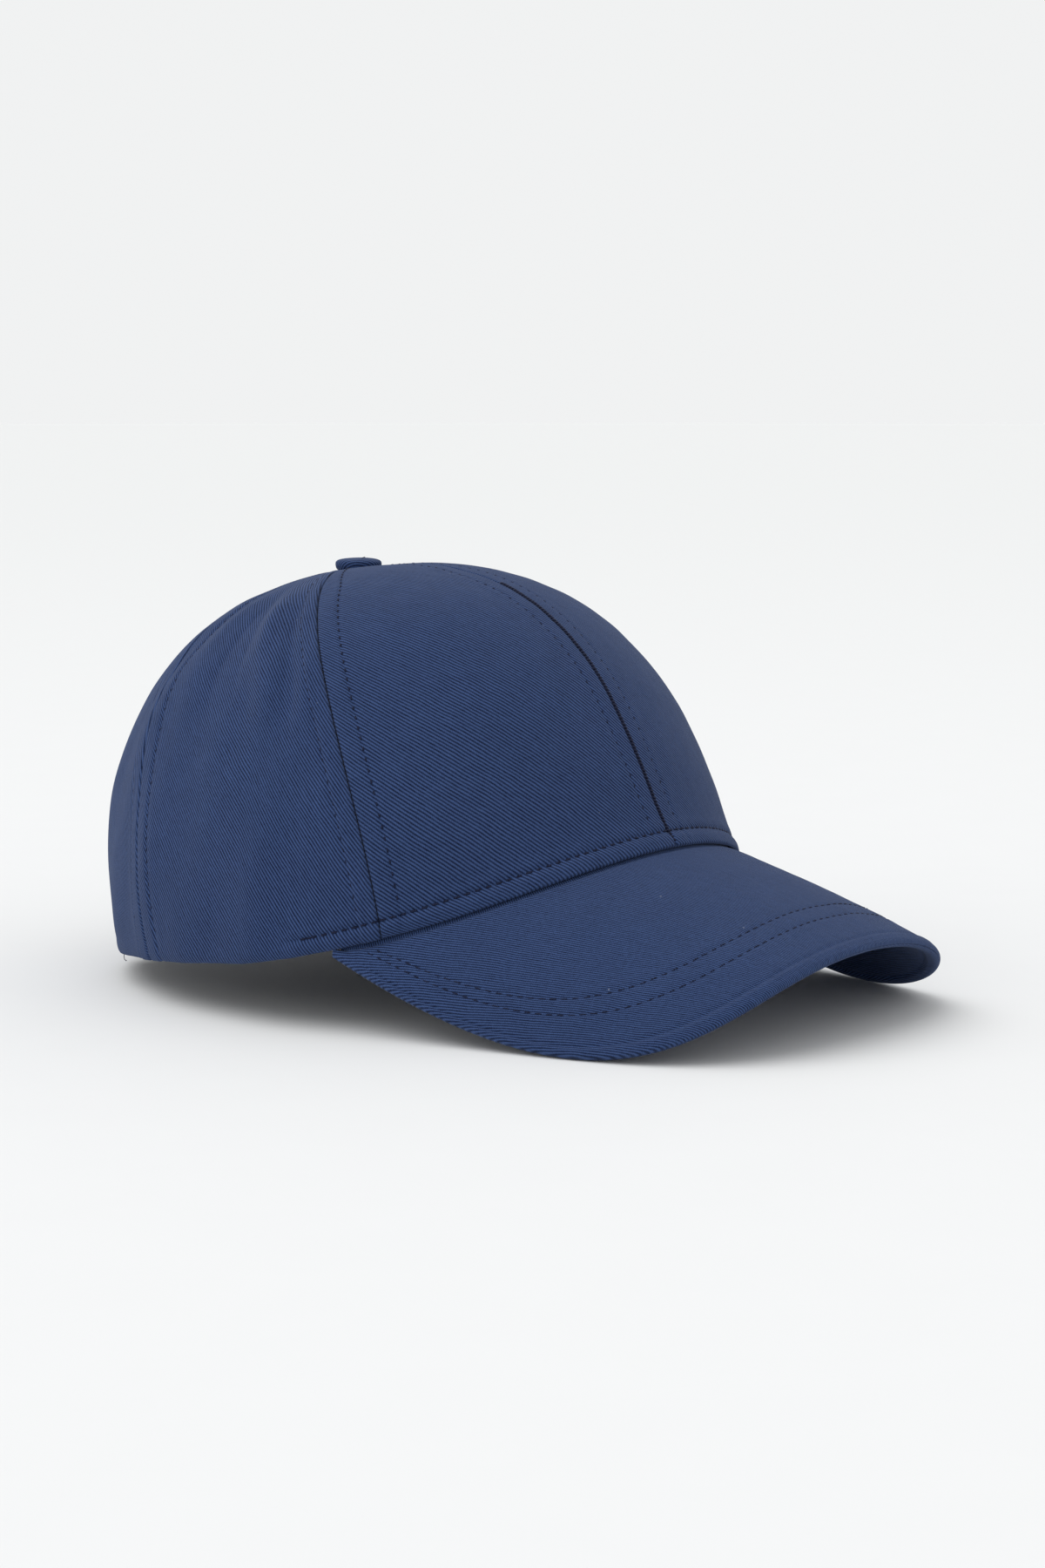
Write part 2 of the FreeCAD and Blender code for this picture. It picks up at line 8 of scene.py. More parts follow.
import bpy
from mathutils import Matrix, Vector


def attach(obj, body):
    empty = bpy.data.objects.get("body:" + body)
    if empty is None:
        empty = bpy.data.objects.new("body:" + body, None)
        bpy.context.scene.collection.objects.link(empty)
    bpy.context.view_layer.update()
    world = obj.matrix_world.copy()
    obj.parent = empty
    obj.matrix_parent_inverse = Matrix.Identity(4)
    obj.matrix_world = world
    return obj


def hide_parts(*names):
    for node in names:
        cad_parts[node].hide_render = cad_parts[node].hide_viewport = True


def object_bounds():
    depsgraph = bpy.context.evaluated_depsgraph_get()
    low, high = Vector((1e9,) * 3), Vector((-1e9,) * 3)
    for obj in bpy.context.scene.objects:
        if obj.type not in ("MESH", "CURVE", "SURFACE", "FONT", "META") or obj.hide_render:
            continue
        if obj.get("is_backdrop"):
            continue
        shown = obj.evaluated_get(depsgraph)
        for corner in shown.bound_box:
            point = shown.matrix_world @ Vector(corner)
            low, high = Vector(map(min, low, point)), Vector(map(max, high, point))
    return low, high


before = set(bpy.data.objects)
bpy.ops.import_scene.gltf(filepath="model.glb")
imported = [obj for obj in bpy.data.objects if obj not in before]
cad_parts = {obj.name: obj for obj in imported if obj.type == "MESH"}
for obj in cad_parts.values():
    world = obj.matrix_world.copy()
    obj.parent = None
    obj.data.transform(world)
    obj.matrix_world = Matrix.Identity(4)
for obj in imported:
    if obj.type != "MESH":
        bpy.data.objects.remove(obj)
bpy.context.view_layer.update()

import logging
import math
from collections.abc import Callable
from dataclasses import dataclass, field
from enum import Enum

import bpy
import numpy as np
from mathutils import Euler, Vector

Array = np.ndarray
Colour = tuple[float, float, float, float]
Place = tuple[float, float, float]
Pair = tuple[float, float]
Material = bpy.types.Material
Socket = bpy.types.NodeSocket
MM = 0.001
CLOTH_UV_UNIT = 100.0               # millimetres of cloth to one unit of the cloth's own map
APEX_S = 0.014
STITCH_PITCH = 3.0
TOPSTITCH = 6.0                     # distance of the topstitching from every seam of the crown
FULL_TURN = 2 * math.pi
log = logging.getLogger("cap")


class Body(Enum):
    """Moving bodies of the cap."""

    CAP = "cap"
    STRAP = "strap"
    LEVER = "lever"


# ---- small sums on arrays
def smooth(value: Array, low: float, high: float) -> Array:
    """Smooth step from 0 at low to 1 at high.

    Args:
        value: Numbers to shape.
        low: Where the step starts.
        high: Where the step ends.

    Returns:
        Numbers from 0 to 1.
    """
    turn = np.clip((value - low) / (high - low), 0.0, 1.0)
    return turn * turn * (3 - 2 * turn)


def unit(vectors: Array) -> Array:
    """Vectors of length one, along the last axis."""
    return vectors / np.maximum(np.linalg.norm(vectors, axis=-1, keepdims=True), 1e-12)


def ridge(value: Array, centre: float, width: float) -> Array:
    """Bell-shaped bump of height one about a centre."""
    return np.exp(-(((value - centre) / width) ** 2))


def rounded(away: Array, radius: float) -> Array:
    """Height of a rounded edge, from 0 at the edge to 1 past the radius."""
    near = np.clip(away / radius, 0.0, 1.0)
    return np.sqrt(1 - (1 - near) ** 2)


def stitch_pull(along: Array, share: float = 0.3) -> Array:
    """Pull of a row of stitches on the cloth, a share of which comes and goes."""
    return 1 - share + share * np.cos(FULL_TURN * along / STITCH_PITCH)


def eased(line: Array, times: int) -> Array:
    """Line with its corners cut off, softer each time.

    Args:
        line: Points along the line.
        times: How often the corners are cut.

    Returns:
        The softer line.
    """
    for _ in range(times):
        first, second = line[:-1], line[1:]
        cut = np.stack([first * 0.75 + second * 0.25, first * 0.25 + second * 0.75], axis=1)
        line = np.concatenate([line[:1], cut.reshape(-1, line.shape[1]), line[-1:]])
    return line


def both_ways(half: tuple[float, ...]) -> Array:
    """Places from -1 to 1, alike on both sides of 0."""
    one = np.array(half)
    return np.concatenate([-one[:0:-1], one])


def cloth_maps(cloth: tuple[Array, Array], edges: tuple[Array, Array]) -> dict[str, Array]:
    """Both maps of a grid of cloth.

    Args:
        cloth: Distances across and along the cloth.
        edges: Distances from the nearest edge, and along it.

    Returns:
        The maps by name, in the cloth map's unit.
    """
    return {name: np.stack(np.broadcast_arrays(*pair), axis=-1) / CLOTH_UV_UNIT
            for name, pair in (("cloth", cloth), ("edges", edges))}


def ripple(points: Array, wavelength: float, seed: int, waves: int = 7) -> Array:
    """Smooth, repeatable unevenness over points in space.

    Args:
        points: Places, three coordinates on the last axis.
        wavelength: Usual distance from crest to crest.
        seed: Choice of pattern.
        waves: How many plane waves are added up.

    Returns:
        Numbers mostly between -1 and 1.
    """
    chance = np.random.default_rng(seed)
    total = np.zeros(points.shape[:-1])
    for _ in range(waves):
        direction = unit(chance.normal(size=3))
        length = wavelength * chance.uniform(0.7, 1.5)
        total += np.sin(points @ direction * (FULL_TURN / length) + chance.uniform(0, FULL_TURN))
    return total / math.sqrt(waves)


def travelled(points: Array) -> Array:
    """Distance along a line of points, or along each column of a grid of them."""
    steps = np.linalg.norm(np.diff(points, axis=0), axis=-1)
    return np.concatenate([np.zeros_like(steps[:1]), np.cumsum(steps, axis=0)])


def along_line(places: Array, distance: Array, values: Array) -> Array:
    """Vectors read off a line at given distances.

    Args:
        places: Distances wanted.
        distance: Distance of each known vector.
        values: The known vectors.

    Returns:
        One vector for each place.
    """
    return np.stack([np.interp(places, distance, values[:, axis]) for axis in range(3)], axis=-1)


# ---- meshes
@dataclass
class Shape:
    """Points, faces and cloth maps on their way to becoming a mesh.

    Attributes:
        points: Vertices in millimetres.
        faces: Corner numbers of each face.
        maps: For each cloth map, a pair of numbers for each vertex.
    """

    points: Array
    faces: list[list[int]]
    maps: dict[str, Array] = field(default_factory=dict)

    @staticmethod
    def joined(parts: list["Shape"]) -> "Shape":
        """One shape from several.

        Args:
            parts: Shapes that share the same map names.

        Returns:
            The shapes as one, still separate solids.
        """
        faces: list[list[int]] = []
        start = 0
        for part in parts:
            faces += [[corner + start for corner in face] for face in part.faces]
            start += len(part.points)
        names = parts[0].maps
        return Shape(np.concatenate([part.points for part in parts]), faces,
                     {name: np.concatenate([part.maps[name] for part in parts]) for name in names})

    @staticmethod
    def sheet(outer: Array, inner: Array, maps: dict[str, Array], ring: bool = False) -> "Shape":
        """Closed solid between two matching grids of points.

        Args:
            outer: Grid of points of the upper face.
            inner: Grid of points of the lower face.
            maps: Cloth maps over the same grid.
            ring: Whether the last column joins the first.

        Returns:
            The solid, with its faces turned outwards.
        """
        rows, columns = outer.shape[:2]
        count = rows * columns
        number = np.arange(count).reshape(rows, columns)
        ahead = np.roll(number, -1, axis=1) if ring else number[:, 1:]
        here = number if ring else number[:, :-1]
        quads = np.stack([here[:-1], ahead[:-1], ahead[1:], here[1:]], axis=-1).reshape(-1, 4)
        walls = [np.stack([ahead[0], here[0]], axis=-1), np.stack([here[-1], ahead[-1]], axis=-1)]
        if not ring:
            walls.append(np.stack([number[1:, -1], number[:-1, -1]], axis=-1))
            walls.append(np.stack([number[:-1, 0], number[1:, 0]], axis=-1))
        edges = np.concatenate(walls)
        start, end = edges.T
        rims = np.stack([start, end, end + count, start + count], axis=-1)
        faces = np.concatenate([quads, quads[:, ::-1] + count, rims])
        points = np.concatenate([outer.reshape(-1, 3), inner.reshape(-1, 3)])
        corner = points[quads]
        facing = np.cross(corner[:, 1] - corner[:, 0], corner[:, 3] - corner[:, 0])
        outwards = points[quads[:, 0]] - points[quads[:, 0] + count]
        if np.sum(facing * outwards) < 0:
            faces = faces[:, ::-1]
        both = {name: np.concatenate([grid.reshape(-1, 2)] * 2) for name, grid in maps.items()}
        return Shape(points, faces.tolist(), both)


@dataclass(frozen=True)
class Workshop:
    """Puts finished shapes into the scene on the body they belong to."""

    sharp_angle: float = math.radians(48.0)

    def make(self, name: str, shape: Shape, material: Material, body: Body,
             stands_for: tuple[str, ...] = (), slot: str = "twill") -> bpy.types.Object:
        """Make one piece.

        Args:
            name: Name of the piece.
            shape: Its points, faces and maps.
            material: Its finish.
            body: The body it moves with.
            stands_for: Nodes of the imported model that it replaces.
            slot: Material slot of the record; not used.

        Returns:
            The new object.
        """
        mesh = bpy.data.meshes.new(name)
        mesh.from_pydata((shape.points * MM).tolist(), [], shape.faces)
        corners = np.zeros(len(mesh.loops), dtype=np.int32)
        mesh.loops.foreach_get("vertex_index", corners)
        for layer_name, pairs in shape.maps.items():
            layer = mesh.uv_layers.new(name=layer_name)
            layer.data.foreach_set("uv", pairs[corners].astype(np.float32).ravel())
        mesh.polygons.foreach_set("use_smooth", np.ones(len(mesh.polygons), dtype=bool))
        mesh.set_sharp_from_angle(angle=self.sharp_angle)
        mesh.materials.append(material)
        mesh.update()
        piece = bpy.data.objects.new(name, mesh)
        bpy.context.scene.collection.objects.link(piece)
        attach(piece, body.value)
        if stands_for:
            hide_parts(*stands_for)
        log.info("%s: %d faces", name, len(shape.faces))
        return piece


@dataclass(frozen=True)
class Thread:
    """Sewing thread that shows as separate stitches.

    Attributes:
        radius: Half the thread's thickness.
        stitch: Length of one stitch on the face of the cloth.
        pitch: Distance from stitch to stitch.
        sink: How far the middle of the thread lies under the cloth's face.
        sides: Flats round the thread.
    """

    radius: float = 0.22
    stitch: float = 2.25
    pitch: float = STITCH_PITCH
    sink: float = -0.06
    sides: int = 6

    def sew(self, path: Array, normals: Array, seed: int = 1, lean: float = 0.0,
            start: float = 0.5) -> Shape:
        """Sew a row.

        Args:
            path: Points along the row, on the face of the cloth.
            normals: Directions off the cloth at those points.
            seed: Choice of small differences from stitch to stitch.
            lean: Turn of each stitch away from the row, in radians.
            start: Place of the first stitch, in pitches.

        Returns:
            The stitches as separate little solids.
        """
        chance = np.random.default_rng(seed)
        distance = travelled(path)
        count = max(int(distance[-1] / self.pitch - start + 0.5), 1)
        places = (np.arange(count) + start) * self.pitch
        middle = along_line(places, distance, path)
        normal = unit(along_line(places, distance, normals))
        step = 0.4
        ahead = unit(along_line(places + step, distance, path)
                     - along_line(places - step, distance, path))
        aside = unit(np.cross(normal, ahead))
        turn = (lean + chance.normal(0, 0.045, count))[:, None]
        forward = ahead * np.cos(turn) + aside * np.sin(turn)
        across = np.cross(normal, forward)
        half = self.stitch / 2 * chance.uniform(0.92, 1.06, count)
        reach = np.array([-1.0, -0.8, -0.35, 0.35, 0.8, 1.0])
        lift = np.array([-1.5, -0.2, 0.35, 0.35, -0.2, -1.5]) * self.radius - self.sink
        girth = np.array([0.5, 0.95, 1.05, 1.05, 0.95, 0.5]) * self.radius
        turns = np.linspace(0, FULL_TURN, self.sides + 1)[:-1]
        spine = (middle[:, None] + forward[:, None] * (half[:, None] * reach)[..., None]
                 + normal[:, None] * lift[None, :, None])
        rings = (spine[:, :, None]
                 + normal[:, None, None] * (girth[:, None] * np.sin(turns))[None, ..., None]
                 + across[:, None, None] * (girth[:, None] * np.cos(turns))[None, ..., None])
        one = np.arange(len(reach) * self.sides).reshape(len(reach), self.sides)
        after = np.roll(one, -1, axis=1)
        quads = np.stack([one[:-1], one[1:], after[1:], after[:-1]], -1)
        faces: list[list[int]] = []
        for start_at in range(0, count * one.size, one.size):
            faces += (quads.reshape(-1, 4) + start_at).tolist()
            faces.append((one[0] + start_at).tolist())
            faces.append((one[-1, ::-1] + start_at).tolist())
        along = (places[:, None] + half[:, None] * reach)[..., None]
        cloth = np.stack(np.broadcast_arrays(along, turns * self.radius), axis=-1)
        return Shape(rings.reshape(-1, 3), faces, {"cloth": cloth.reshape(-1, 2) / CLOTH_UV_UNIT})


# ---- shape of the crown
@dataclass(frozen=True)
class CrownForm:
    """Outer face of the crown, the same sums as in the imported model."""

    hem_half_width: float = 88.0
    hem_centre_y: float = 18.6
    hem_front_reach: float = 80.0
    hem_rear_reach: float = 104.0
    hem_height: tuple[float, ...] = (19.3, 19.9, 3.9, 2.1)
    top_y: float = 54.4
    top_z: float = 116.4
    shoulder_reach: tuple[float, ...] = (0.93, -0.077, -0.047)
    shoulder_rise: tuple[float, ...] = (0.05, 0.174, -0.018)
    side_bulge: tuple[float, ...] = (0.032, -0.111, -0.044)
    side_rise: tuple[float, ...] = (0.237, -0.216, 0.142)
    dimple_z: float = 115.2
    dimple_radius: float = 10.0
    front_side_seam: Pair = (60.1, 34.7)
    side_back_seam: Pair = (113.3, 30.0)

    @staticmethod
    def harmonic(terms: tuple[float, ...], angle: Array) -> Array:
        """Sum of cosine terms at each angle."""
        return sum(term * np.cos(order * angle) for order, term in enumerate(terms))

    def hem(self, angle: Array) -> Array:
        """Points of the crown's lower edge.

        Args:
            angle: Angles round the crown.

        Returns:
            Points in millimetres.
        """
        angle = np.asarray(angle, dtype=float)
        reach = np.where(np.cos(angle) > 0, self.hem_front_reach, self.hem_rear_reach)
        return np.stack([self.hem_half_width * np.sin(angle),
                         self.hem_centre_y - reach * np.cos(angle),
                         self.harmonic(self.hem_height, angle)], axis=-1)

    def point(self, angle: Array, s: Array) -> Array:
        """Points on the outer face of the cloth.

        Args:
            angle: Angles round the crown.
            s: Places from the button to the hem.

        Returns:
            Points in millimetres.
        """
        angle, s = np.broadcast_arrays(np.asarray(angle, float), np.asarray(s, float))
        m = 1.0 - s
        hem = self.hem(angle)
        reach = (3 * m * m * s * self.harmonic(self.shoulder_reach, angle)
                 + 3 * m * s * s * (1 + self.harmonic(self.side_bulge, angle)) + s ** 3)
        rise = (m ** 3 + 3 * m * m * s * (1 + self.harmonic(self.shoulder_rise, angle))
                + 3 * m * s * s * self.harmonic(self.side_rise, angle))
        x = hem[..., 0] * reach
        y = self.top_y + (hem[..., 1] - self.top_y) * reach
        z = hem[..., 2] + (self.top_z - hem[..., 2]) * rise
        pull = 1.0 / (1.0 + (np.hypot(x, y - self.top_y) / self.dimple_radius) ** 6)
        return np.stack([x, y, z + (self.dimple_z - z) * pull], axis=-1)

    def normal(self, angle: Array, s: Array) -> Array:
        """Outward unit normals of the crown.

        Args:
            angle: Angles round the crown.
            s: Places from the button to the hem.

        Returns:
            Directions off the cloth.
        """
        step = 1e-4
        round_crown = self.point(angle + step, s) - self.point(angle - step, s)
        down_crown = self.point(angle, s + step) - self.point(angle, s - step)
        return unit(np.cross(down_crown, round_crown))

    def under(self, angle: Array, s: Array, depth: Array) -> Array:
        """Points at a depth under the outer face."""
        return self.point(angle, s) - self.normal(angle, s) * np.asarray(depth)[..., None]

    def seam(self, seam: Pair, s: Array) -> Array:
        """Angle of a seam between two panels at each s."""
        return np.radians(seam[0] + seam[1] * (1 - s) ** 2)

    def s_above_hem(self, angle: float, heights: Array) -> Array:
        """Values of s at heights above the hem, measured along the cloth."""
        s = np.linspace(1.0, 0.4, 241)
        return np.interp(heights, travelled(self.point(angle, s)), s)

    def crown_at(self, x: float, z: float) -> Pair:
        """Angle and s of the rear crown at a given x and z.

        Args:
            x: Sideways place.
            z: Height.

        Returns:
            The angle and s.
        """
        wide, tries, step = 1.03, 30, 1e-4
        angle = math.pi - math.asin(x / (self.hem_half_width * wide))
        s = 0.85
        for _ in range(tries):
            here = self.point(angle, s)
            by_angle = (self.point(angle + step, s) - here) / step
            by_s = (self.point(angle, s + step) - here) / step
            miss_x, miss_z = x - here[0], z - here[2]
            det = by_angle[0] * by_s[2] - by_s[0] * by_angle[2]
            angle += (miss_x * by_s[2] - by_s[0] * miss_z) / det
            s += (by_angle[0] * miss_z - miss_x * by_angle[2]) / det
        return angle, s


@dataclass(frozen=True)
class RearArch:
    """Edge of the rear opening: two short upright sides and an arch."""

    half_width: float = 44.0
    shoulder_z: float = 18.0
    rise: float = 30.0

    def outline(self, share: float, out: float, foot: float = 12.0) -> Pair:
        """Point of the edge in x and z.

        Args:
            share: Place along the edge, 0 on the left and 1 on the right.
            out: Distance outside the edge.
            foot: Length of each upright side.

        Returns:
            The point's x and z.
        """
        arch = math.pi * (self.half_width + self.rise) / 2
        along = share * (2 * foot + arch)
        wide = self.half_width + out
        if along < foot:
            return wide, self.shoulder_z - foot + along
        if along > foot + arch:
            return -wide, self.shoulder_z - (along - foot - arch)
        turn = math.pi * (along - foot) / arch
        return wide * math.cos(turn), self.shoulder_z + (self.rise + out) * math.sin(turn)


# ---- how a panel is sewn
@dataclass(frozen=True)
class SeamSide:
    """How the cloth of a panel lies beside a seam.

    Attributes:
        radius: Width over which the edge rolls into the seam.
        fold: How deep the edge rolls in.
        band: Rise over the seam allowance underneath.
        row: Distance of the topstitching from the seam.
        groove: Depth to which the topstitching pulls the cloth.
    """

    radius: float = 1.2
    fold: float = 0.75
    band: float = 0.3
    row: float = TOPSTITCH
    groove: float = 0.3

    def height(self, away: Array, along: Array) -> Array:
        """Rise of the cloth.

        Args:
            away: Distance from the seam.
            along: Distance along the seam.

        Returns:
            Rise off the crown's plain surface.
        """
        rolled = -self.fold * (1 - rounded(away, self.radius))
        bed = self.band * (1 - smooth(away, self.row - 1.2, self.row + 0.8))
        row = -self.groove * ridge(away, self.row, 0.6) * stitch_pull(along)
        beside = 0.1 * ridge(away, self.row + 1.7, 1.1)
        return rolled + bed + row + beside


@dataclass(frozen=True)
class HemFold:
    """Folded lower edge of the crown, stitched round the front."""

    radius: float = 1.0
    fold: float = 0.5
    puff: float = 0.55
    row: float = 4.8
    groove: float = 0.5
    last_stitch: float = math.radians(77.0)
    hem_radius: float = 85.0

    def height(self, up: Array, angle: Array) -> Array:
        """Rise of the cloth.

        Args:
            up: Distance above the hem.
            angle: Angle round the crown.

        Returns:
            Rise off the crown's plain surface.
        """
        rolled = -self.fold * (1 - rounded(up, self.radius))
        stitched = 1 - smooth(np.abs(angle), self.last_stitch, self.last_stitch + 0.05)
        swell = self.puff * (0.45 + 0.55 * stitched) * ridge(up, self.row * 0.5, self.row * 0.36)
        pull = stitch_pull(angle * self.hem_radius)
        row = -self.groove * stitched * ridge(up, self.row, 0.62) * pull
        above = 0.16 * stitched * ridge(up, self.row + 2.0, 1.3)
        return rolled + swell + row + above


@dataclass(frozen=True)
class PanelCut:
    """One panel: where it lies on the crown and how its edges are sewn.

    Attributes:
        name: Name of the panel's node.
        side: +1 on the wearer's left, -1 on the right.
        inner_seam: Seam nearer the front, none for the middle of the front.
        outer_seam: Seam nearer the rear, none for the middle of the rear.
        inner: Lie of the cloth at the inner seam.
        outer: Lie of the cloth at the outer seam.
        rib_angle: Direction of the twill's ribs from the level, in radians.
    """

    name: str
    side: int
    inner_seam: Pair | None
    outer_seam: Pair | None
    inner: SeamSide
    outer: SeamSide
    rib_angle: float

    def bounds(self, form: CrownForm, s: Array) -> tuple[Array, Array]:
        """Angles of the panel's two edges.

        Args:
            form: The crown.
            s: Places from the button to the hem.

        Returns:
            The angles at each s, both positive.
        """
        gap = 0.05 / (form.hem_half_width * np.maximum(s, APEX_S))
        first = form.seam(self.inner_seam, s) if self.inner_seam else np.zeros_like(s)
        last = form.seam(self.outer_seam, s) if self.outer_seam else np.full_like(s, math.pi)
        return first + gap, last - gap


@dataclass
class LaidPanel:
    """Grids of a panel laid on the crown, rows from the hem to the button.

    Attributes:
        outer: Points of the outer face.
        inner: Points of the inner face.
        normals: Directions off the cloth.
        angle: Signed angle of each point.
        maps: Cloth maps.
        seam_column: Column of the topstitching beside the inner and outer seams.
        hem_row: Row of the stitching above the hem.
        opening: For each column, whether it ends at the rear opening.
    """

    outer: Array
    inner: Array
    normals: Array
    angle: Array
    maps: dict[str, Array]
    seam_column: tuple[int, int]
    hem_row: int
    opening: Array


@dataclass(frozen=True)
class Crease:
    """Straight fold that runs off from the front side seam.

    Attributes:
        start: Distance behind the seam and place down the crown of one end.
        end: The same of the other end.
        width: Width of the fold.
        rise: Height of the fold, below zero for a hollow.
    """

    start: Pair
    end: Pair
    width: float
    rise: float
    crown_length: float = 170.0

    def height(self, from_seam: Array, s: Array) -> Array:
        """Rise of the cloth.

        Args:
            from_seam: Distances behind the seam.
            s: Places from the button to the hem.

        Returns:
            Rise off the plain surface.
        """
        start, end = (np.array([behind, down * self.crown_length])
                      for behind, down in (self.start, self.end))
        length = float(np.linalg.norm(end - start))
        ahead = (end - start) / length
        across = from_seam - start[0], s * self.crown_length - start[1]
        along = across[0] * ahead[0] + across[1] * ahead[1]
        aside = across[0] * ahead[1] - across[1] * ahead[0]
        ends = (smooth(along, -0.25 * length, 0.3 * length)
                * (1 - smooth(along, 0.7 * length, 1.25 * length)))
        return self.rise * ridge(aside, 0.0, self.width) * ends * (from_seam > 0)


@dataclass(frozen=True)
class PanelLayer:
    """Lays panels of cloth on the crown, with their seams, hems and soft folds."""

    form: CrownForm = CrownForm()
    arch: RearArch = RearArch()
    hem: HemFold = HemFold()
    thick: float = 0.9
    thinnest: float = 0.55
    mesh_step: float = 1.25
    edge_steps: tuple[float, ...] = (0.0, 0.12, 0.3, 0.6, 0.95, 1.4, 2.1, 3.0, 3.9, 4.5, 4.8, 5.1,
                                     5.6, 6.0, 6.4, 7.0, 7.8, 8.8)
    full_width: float = 46.0
    crown_radius: float = 60.0
    highest: float = 2.4
    creases: tuple[Crease, ...] = (
        Crease((9.0, 0.22), (12.0, 0.46), 3.0, -1.8),
        Crease((16.5, 0.19), (20.0, 0.43), 3.6, 1.7),
        Crease((24.0, 0.17), (33.0, 0.40), 3.4, -1.5),
        Crease((34.0, 0.19), (45.0, 0.44), 4.4, 1.4),
    )

    def spread(self, width: float, count: int) -> Array:
        """Places across a panel, close together beside both seams.

        Args:
            width: Width of the panel there.
            count: Number of even steps in the middle.

        Returns:
            Shares of the width from 0 to 1.
        """
        shrink = min(1.0, width / self.full_width)
        side = np.array(self.edge_steps) * shrink / width
        middle = np.linspace(side[-1], 1 - side[-1], count + 1)[1:-1]
        return np.concatenate([side, middle, 1 - side[::-1]])

    def foot_line(self, cut: PanelCut) -> tuple[Array, Array]:
        """Lower edge of a panel: the hem, and the arch on a rear panel.

        Args:
            cut: The panel.

        Returns:
            Angles and s along the edge.
        """
        first, last = (float(bound[0]) for bound in cut.bounds(self.form, np.array([1.0])))
        if cut.outer_seam:
            angles = np.linspace(first, last, 200)
            return angles, np.ones_like(angles)
        corner = math.pi - math.asin(self.arch.half_width / self.form.hem_half_width)
        angles = list(np.linspace(first, corner, 40))
        levels = [1.0] * 40
        for share in np.linspace(0.0, 0.5, 60):
            angle, s = self.form.crown_at(*self.arch.outline(share, 0.0, foot=14.0))
            angles.append(min(angle, last))
            levels.append(s)
        return np.array(angles), np.array(levels)

    def folds(self, angle: Array, s: Array, points: Array) -> Array:
        """Soft unevenness of the unstiffened cloth.

        Args:
            angle: Signed angles.
            s: Places from the button to the hem.
            points: The same places in space.

        Returns:
            Rise off the plain surface.
        """
        away = np.abs(angle)
        soft = smooth(away, math.radians(62), math.radians(82))
        middle = np.clip(4 * s * (1 - s), 0, 1)
        slow = 0.22 * ripple(points, 46.0, 11) * middle
        upright = np.sin(angle * 15 + 1.6 * np.sin(s * 5.0)) + 0.6 * np.sin(angle * 27 + s * 6)
        waves = 0.42 * soft * upright * smooth(s, 0.3, 0.75) * (1 - 0.6 * smooth(s, 0.93, 1.0))
        gathers = np.sin(angle * 34 + s * 9) * ridge(s, 0.36, 0.16) * 0.26 * soft
        downhill = (points[..., 2] * 0.8 - points[..., 1] * 0.55) / 4.3
        slant = np.sin(downhill + 0.7 * ripple(points, 38, 5))
        drawn = 0.75 * slant * ridge(s, 0.36, 0.15) * ridge(away, math.radians(92), 0.32)
        from_seam = (away - self.form.seam(self.form.front_side_seam, s)) * self.crown_radius
        creases = sum(crease.height(from_seam, s) for crease in self.creases)
        from_rear = np.abs(away - self.form.seam(self.form.side_back_seam, s))
        ridged = ridge(s, 0.46, 0.22) * (0.9 * ridge(from_rear, 0.0, 0.14)
                                         - 0.7 * ridge(from_rear, 0.42, 0.2))
        fine = 0.05 * ripple(points, 9.0, 23)
        return (slow + waves + gathers + drawn + creases + ridged + fine) * smooth(s, 0.03, 0.18)

    def lay(self, cut: PanelCut) -> LaidPanel:
        """Lay one panel.

        Args:
            cut: The panel.

        Returns:
            Its grids.
        """
        form = self.form
        foot_angle, foot_s = self.foot_line(cut)
        foot_length = travelled(form.point(foot_angle, foot_s))
        width = float(foot_length[-1])
        columns = self.spread(width, max(int((width - 17) / self.mesh_step), 4))
        s_foot = np.interp(columns * width, foot_length, foot_s)
        opening = s_foot < 0.9999
        first, last = cut.bounds(form, s_foot)
        angle_foot = np.interp(columns * width, foot_length, foot_angle)
        share_foot = columns if cut.outer_seam else (angle_foot - first) / (last - first)
        climb = np.linspace(0.0, 1.0, 260)[:, None]

        def place(climbed: Array) -> tuple[Array, Array, Array, Array]:
            """Places on a climb from the foot to the button.

            Args:
                climbed: Shares of the climb.

            Returns:
                Share of the width, angle, s and panel width.
            """
            level = s_foot + (APEX_S - s_foot) * climbed
            span = self.widths(cut, level)
            blend = smooth(climbed, 0.0, 0.6)
            share = share_foot * (1 - blend) + self.kept(columns, width, span) * blend
            if cut.outer_seam:
                share = self.kept(columns, width, span)
            low, high = cut.bounds(form, level)
            return share, low + (high - low) * share, level, span

